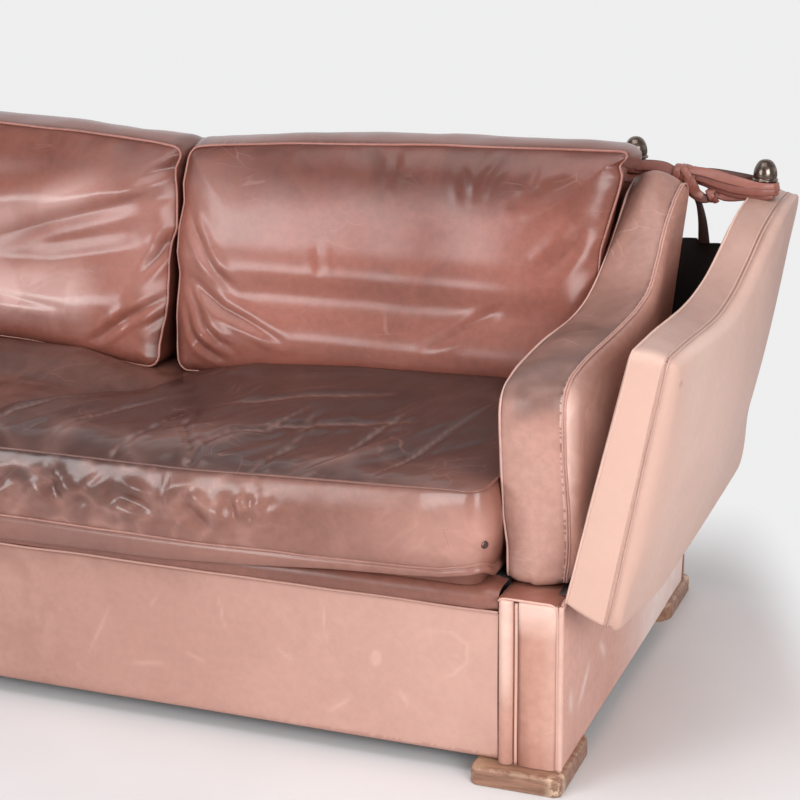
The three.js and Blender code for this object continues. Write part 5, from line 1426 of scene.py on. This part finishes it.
def make_strap(side, material):
    """The strap from finial to finial: wraps, three strands, knot and hanging tail."""
    word = hand(side)
    wing = lean_out(np.array(WING_FINIAL))
    knot = np.array([0.9165, FINIAL_Y - 0.004, 0.8400])
    small = np.array([0.9690, FINIAL_Y - 0.012, 0.8090])
    y = FINIAL_Y
    shell = Shell()
    # On the wraps, a paler top layer and darker lower layers are painted light and shade.
    for k, height in enumerate((0.0050, 0.0130, 0.0205)):
        wrap(shell, wing + [0, 0, height], (0.05 * (k - 1), 0.05, 1), (0.0212, 0.0226, 0.0214)[k],
             0.0100, 0.0075, start=1.1 * k, pale=0.15 * (k == 2), dark=0.15 * (k == 0))
    for k, height in enumerate((0.0065, 0.0175)):
        wrap(shell, (POST_X, y, BACK_TOP + height), (0, 0.05, 1), 0.0165, 0.0125, 0.0055,
             start=0.7 * k)

    def strand(points, face, width, thick=0.0052, n=60, dark=0.0, pale=0.0):
        """face is the way the strap looks at its start and at its end."""
        t = np.linspace(0, 1, n)[:, None]
        first, last = (np.array(k, float) for k in face)
        width = width if np.isscalar(width) else np.interp(t[:, 0], *width)
        band(shell, spline(points, n), first * (1 - t) + last * t, width, thick, dark, pale)

    # Strands lower down or further back are darker, and the top and front ones paler: painted shade
    # and painted light.
    strand([(POST_X + 0.004, y - 0.0170, 0.8550), (0.850, y - 0.014, 0.8560),
            (0.874, y - 0.011, 0.8540), (0.895, y - 0.009, 0.8470), (0.915, y - 0.006, 0.8410)],
           ((0, -1, 0.2), (0, -1, 0.7)), ([0, 0.6, 1], [0.020, 0.0215, 0.015]), dark=0.3)
    strand([(POST_X + 0.004, y + 0.0170, 0.8500), (0.852, y + 0.010, 0.8470),
            (0.880, y + 0.004, 0.8430), (0.915, y + 0.003, 0.8370)],
           ((0, -1, 0.1), (0, -1, 0.3)), 0.0180, dark=0.5)
    strand([(0.904, y - 0.007, 0.8470), (0.926, y - 0.016, 0.8520), (0.962, y - 0.020, 0.8490),
            (1.000, y - 0.0235, 0.8410), (1.034, y - 0.0265, 0.8345), (1.056, y - 0.0270, 0.8320),
            (1.077, y - 0.020, 0.8320)], ((0, -1, 1.3), (0, -1, 0.05)),
           ([0, 0.4, 0.8, 1], [0.014, 0.0205, 0.016, 0.012]), 0.0055, 90, dark=0.05, pale=0.15)
    strand([(0.912, y - 0.006, 0.8420), (0.940, y - 0.018, 0.8430), (0.972, y - 0.0225, 0.8360),
            (1.004, y - 0.0255, 0.8270), (1.032, y - 0.0285, 0.8235), (1.056, y - 0.0292, 0.8225),
            (1.078, y - 0.020, 0.8225)], ((0, -1, 0.15), (0, -1, -0.05)),
           ([0, 0.4, 0.8, 1], [0.016, 0.0215, 0.015, 0.012]), 0.0055, 90, dark=0.22)
    strand([(0.920, y - 0.004, 0.8360), (0.950, y - 0.014, 0.8330), (0.980, y - 0.0190, 0.8240),
            (1.008, y - 0.0225, 0.8170), (1.034, y - 0.0260, 0.8150), (1.056, y - 0.0270, 0.8145),
            (1.076, y - 0.020, 0.8150)], ((0, -1, -0.1), (0, -1, 0.05)),
           ([0, 0.4, 0.8, 1], [0.015, 0.0190, 0.014, 0.011]), 0.0052, 90, dark=0.35)
    strand([(0.912, y + 0.006, 0.8420), (0.960, y + 0.012, 0.8430), (1.010, y + 0.020, 0.8360),
            (1.045, y + 0.0240, 0.8300), (1.066, y + 0.020, 0.8290)],
           ((0, -1, 0.6), (0, -1, 0)), 0.0190, dark=0.55)
    strand([small + [-0.008, 0, 0.003], small + [0.014, -0.006, 0.004], (1.002, y - 0.018, 0.8110),
            (1.026, y - 0.024, 0.8130), (1.046, y - 0.0262, 0.8140)],
           ((0, -1, 0.5), (0, -1, -0.1)), ([0, 0.35, 1], [0.013, 0.0225, 0.012]), dark=0.2)
    for k, (shift, lean) in enumerate(((-0.0125, 0.10), (0.0, -0.10), (0.0115, 0.16))):
        wrap(shell, knot + [shift, 0, -0.14 * shift], (1, 0.1 * (k - 1), lean - 0.15),
             0.0160 + 0.0014 * (k == 1), 0.0150, 0.0056, start=0.6 * k, pale=0.1 * (k == 0),
             dark=0.12 * k)
    wrap(shell, knot + [0.005, -0.001, 0.001], (0.75, 0.2, 0.62), 0.0205, 0.0130, 0.0046,
         turns=0.62, start=-0.4, pale=0.3)
    strand([knot + [0.006, -0.020, 0.004], knot + [0.014, -0.0215, -0.010],
            knot + [0.022, -0.016, -0.026], knot + [0.034, -0.012, -0.034]],
           ((0, -1, 0.1), (0, -1, 0.4)), ([0, 0.5, 1], [0.017, 0.021, 0.013]), 0.0048, 40, pale=0.1)
    strand([knot + [-0.004, -0.016, -0.010], knot + [0.010, -0.014, -0.024],
            small + [-0.020, -0.004, -0.006], small + [0.000, 0.002, -0.003]],
           ((0, -1, -0.2), (0.3, -1, 0.3)), 0.0165, 0.0048, 40, dark=0.45)
    wrap(shell, small + [-0.004, 0, 0], (0.9, 0.3, 0.35), 0.0105, 0.0125, 0.0052, turns=1.15,
         advance=0.005, pale=0.2)
    wrap(shell, small + [0.005, -0.003, -0.002], (0.5, 0.5, -0.7), 0.0095, 0.0110, 0.0048,
         turns=0.9, start=1.0, dark=0.15)
    # The hanging tail is painted near-black: painted shade, as it hangs in the gap behind the arm
    # cushion.
    strand([knot + [0.014, -0.002, -0.022], knot + [0.024, 0.000, -0.046],
            knot + [0.032, 0.000, -0.080], knot + [0.0360, 0.001, -0.122]],
           ((0.1, -1, 0), (-0.15, -1, 0)), ([0, 0.3, 1], [0.0150, 0.0115, 0.0225]), 0.0036,
           dark=1.0)
    piece = shell.build(f"tie_strap_{word}_leather", material, None, "strap_leather",
                        cad=[f"tie_strap_{word}"], side=side)
    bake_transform(piece)


def make_lining(side, material):
    """Near-black cloth across the gap between the rear frame and a wing: partly the cloth's own
    dark colour and partly painted shade of the gap.
    """
    word = hand(side)
    low, high = 0.318, 0.7225
    s = np.linspace(0, 1, 30)[:, None]
    t = np.linspace(0, 1, 44)[None]
    ragged = high + 0.004 * fractal(s * 0.1, 0.0, 0.02, 401, 2) - 0.007 * (s > 0.55)
    z = low + (ragged - low) * t
    inner = BACK_HALF + 0.001
    outer = HINGE[0] + np.maximum(z - HINGE[1], 0) * math.tan(LEAN) - 0.004
    x = inner + (outer - inner) * s
    fold = 0.003 * np.sin(5 * np.pi * s) * smooth(0, 0.3, t)
    shell = Shell()
    for shift in (0.0, 0.0022):
        shell.grid(xyz(x, 0.7598 + fold + shift, z))
    piece = shell.build(f"gap_lining_{word}_cloth", material, None, "dark_lining",
                        cad=[f"gap_lining_{word}"], side=side, weld=1e-6)
    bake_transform(piece)


def make_foot(name, x, y, side, material):
    """A flat block, rounder at its inner end, with softened edges and chipped corners."""
    half_w, half_l, height = 0.0757, 0.0948, 0.0298
    near, far = 0.014, 0.040
    n, f = 0.45 * near, 0.45 * far
    loop = outline(
        (-half_w + near, -half_l), ("l", (half_w - near, -half_l)),
        ("c", (half_w - n, -half_l), (half_w, -half_l + n), (half_w, -half_l + near)),
        ("l", (half_w, half_l - far)),
        ("c", (half_w, half_l - f), (half_w - f, half_l), (half_w - far, half_l)),
        ("l", (-half_w + far, half_l)),
        ("c", (-half_w + f, half_l), (-half_w, half_l - f), (-half_w, half_l - far)),
        ("l", (-half_w, -half_l + near)),
        ("c", (-half_w, -half_l + n), (-half_w + n, -half_l), (-half_w + near, -half_l)))
    loop = resample(loop, 193)[:-1]
    lx, ly = loop[:, 0], loop[:, 1]
    outwards = 1 if y < 0.4 else -1
    chipped = smooth(0.045, 0.072, lx) * smooth(0.055, 0.088, -ly)
    nick = np.clip(value_noise(lx / 0.006, ly / 0.006, 431), 0, 1)
    rings, pale, dark = [], [], []
    for z, e in ((0, 0.072), (0, 0.03), (0, 0.003), (0.001, 0.0008), (0.004, 0), (0.012, 0),
                 (0.020, 0), (0.0255, 0.0004), (0.0285, 0.0018), (height, 0.005),
                 (height, 0.02), (height, 0.05), (height, 0.074)):
        worn = 0.0016 * chipped * nick * (0.0005 < z < 0.0290)
        px, py = lx * (1 - (e + worn) / half_w), ly * (1 - (e + worn) / half_l)
        rings.append(np.column_stack([x + px, y + outwards * py, np.full(len(loop), z)]))
        edge = 0.35 * (0.0005 < e < 0.006)
        pale.append(np.clip(1.1 * chipped * (e < 0.02) + edge, 0, 1))
        dark.append(0.4 * smooth(-0.02, -0.06, px) * (z > 0.029))
    rings = np.array(rings)
    rings = np.concatenate([rings, rings[:, :1]], 1)
    pale, dark = (np.concatenate([k, k[:, :1]], 1) for k in (np.array(pale), np.array(dark)))
    Shell().grid(rings, dark=dark, pale=pale).build(
        f"{name}_block", material, "sofa", "stained_wood", cad=[name], side=side)


def main():
    bpy.context.scene.view_settings.view_transform = "Standard"
    point_camera()
    light_room()
    lay_floor(floor_material())
    hide_group()
    grain_group()
    leathers = {
        "seat": leather("seat_hide", (138, 90, 77), (122, 78, 66), (62, 33, 27), (208, 156, 142),
                        rough=0.42, coat=0.44, gloss=0.182, ripple=0.6, scratch=0.4,
                        scratch_colour=(136, 90, 78), clouds=0.25, fray=0.15),
        "back": leather("back_hide", (153, 91, 77), (137, 80, 67), (88, 45, 35), (206, 168, 160),
                        rough=0.44, coat=0.6, gloss=0.242, ripple=0.4, scratch=0.12, clouds=0.3,
                        sheen=0.25),
        "arm": leather("arm_hide", (184, 137, 124), (174, 127, 114), (100, 72, 64),
                       (252, 220, 208), rough=0.48, coat=0.22, gloss=0.302, ripple=0.4,
                       scratch=0.15, clouds=0.12, fray=0.1),
        "wing": leather("wing_hide", (216, 180, 166), (208, 172, 158), (150, 110, 99),
                        (208, 167, 151), rough=0.48, coat=0.2, gloss=0.322, ripple=0.12,
                        scratch=0.06, clouds=0.06, fray=0.08, mottle=0.35),
        "base": leather("base_hide", (186, 142, 129), (178, 134, 121), (140, 98, 86),
                        (220, 178, 164), rough=0.52, coat=0.1, gloss=0.372, ripple=0.25,
                        scratch=0.08, clouds=0.1, mottle=0.5),
        "facing": leather("facing_hide", (200, 150, 134), (190, 141, 124), (140, 88, 74),
                          (246, 212, 198), rough=0.5, coat=0.12, gloss=0.342, ripple=0.3,
                          scratch=0.1, clouds=0.12, mottle=0.7),
        "side": leather("side_hide", (214, 166, 152), (204, 156, 142), (120, 80, 68),
                        (238, 220, 213), rough=0.55, coat=0.08, gloss=0.372, ripple=0.4,
                        scratch=0.12, mottle=0.7),
        "lip": leather("lip_hide", (140, 90, 77), (124, 78, 66), (86, 50, 42),
                       (170, 118, 104), rough=0.42, coat=0.4, gloss=0.242, ripple=0.4,
                       scratch=0.1, clouds=0.25),
        "outback": leather("outside_back_hide", (152, 98, 82), (138, 86, 71), (104, 62, 52),
                           (192, 146, 130), rough=0.48, coat=0.2, gloss=0.292, ripple=0.4,
                           scratch=0.3, clouds=0.3),
    }
    strap_hide = leather("strap_hide", (150, 90, 78), (128, 74, 63), (44, 26, 23),
                         (190, 130, 115), rough=0.45, coat=0.25, gloss=0.292, ripple=0.3,
                         scratch=0.1)
    bronze = plain("bronze", (128, 112, 102), (78, 66, 60), 0.24, metal=0.9, scale=60, bump=0.05)
    steel = plain("hinge_steel", (176, 176, 178), (140, 140, 142), 0.38, metal=1.0, scale=40,
                  bump=0.05, stretch=(1, 0.05, 1))
    timber = plain("timber", (196, 158, 112), (168, 128, 84), 0.6, scale=18, stretch=(0.3, 5, 5))
    webbing = plain("webbing", (122, 104, 84), (92, 76, 60), 0.85, scale=900, bump=0.4)
    # The lining cloth's near-black is partly painted shade of the gap behind each wing; the same
    # cloth covers the deck and the dust cover.
    cloth = plain("dark_lining", (40, 34, 31), (22, 18, 17), 0.9, scale=700, bump=0.4)
    wood = worn_wood()

    make_seat(leathers)
    make_front(leathers)
    make_back_frame(leathers)
    for side in (1, -1):
        word = hand(side)
        make_back_cushion(side, leathers)
        make_arm_cushion(side, leathers)
        make_wing(side, leathers)
        make_arm_base(side, leathers)
        make_strap(side, strap_hide)
        make_lining(side, cloth)
        make_finial(f"back_finial_{word}_turned", f"back_finial_{word}", "sofa",
                    (POST_X, FINIAL_Y, BACK_TOP), side, 0.0116, bronze)
        make_finial(f"wing_finial_{word}_turned", f"wing_finial_{word}", f"arm_{word}",
                    lean_out(np.array(WING_FINIAL)), side, 0.0186, bronze)
        make_foot(f"foot_front_{word}", 0.848, 0.067, side, wood)
        make_foot(f"foot_rear_{word}", 0.848, 0.773, side, wood)
    finishes = {"frame_": timber, "back_post": timber, "back_top_rail": timber,
                "back_lower": timber, "wing_board": timber, "seat_webbing": webbing,
                "seat_deck": cloth, "dust_cover": cloth, "arm_hinge": steel,
                "back_inside": leathers["outback"], "back_side": leathers["outback"]}
    for name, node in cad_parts.items():
        for start, material in finishes.items():
            if name.startswith(start):
                node.data.materials.clear()
                node.data.materials.append(material)


main()
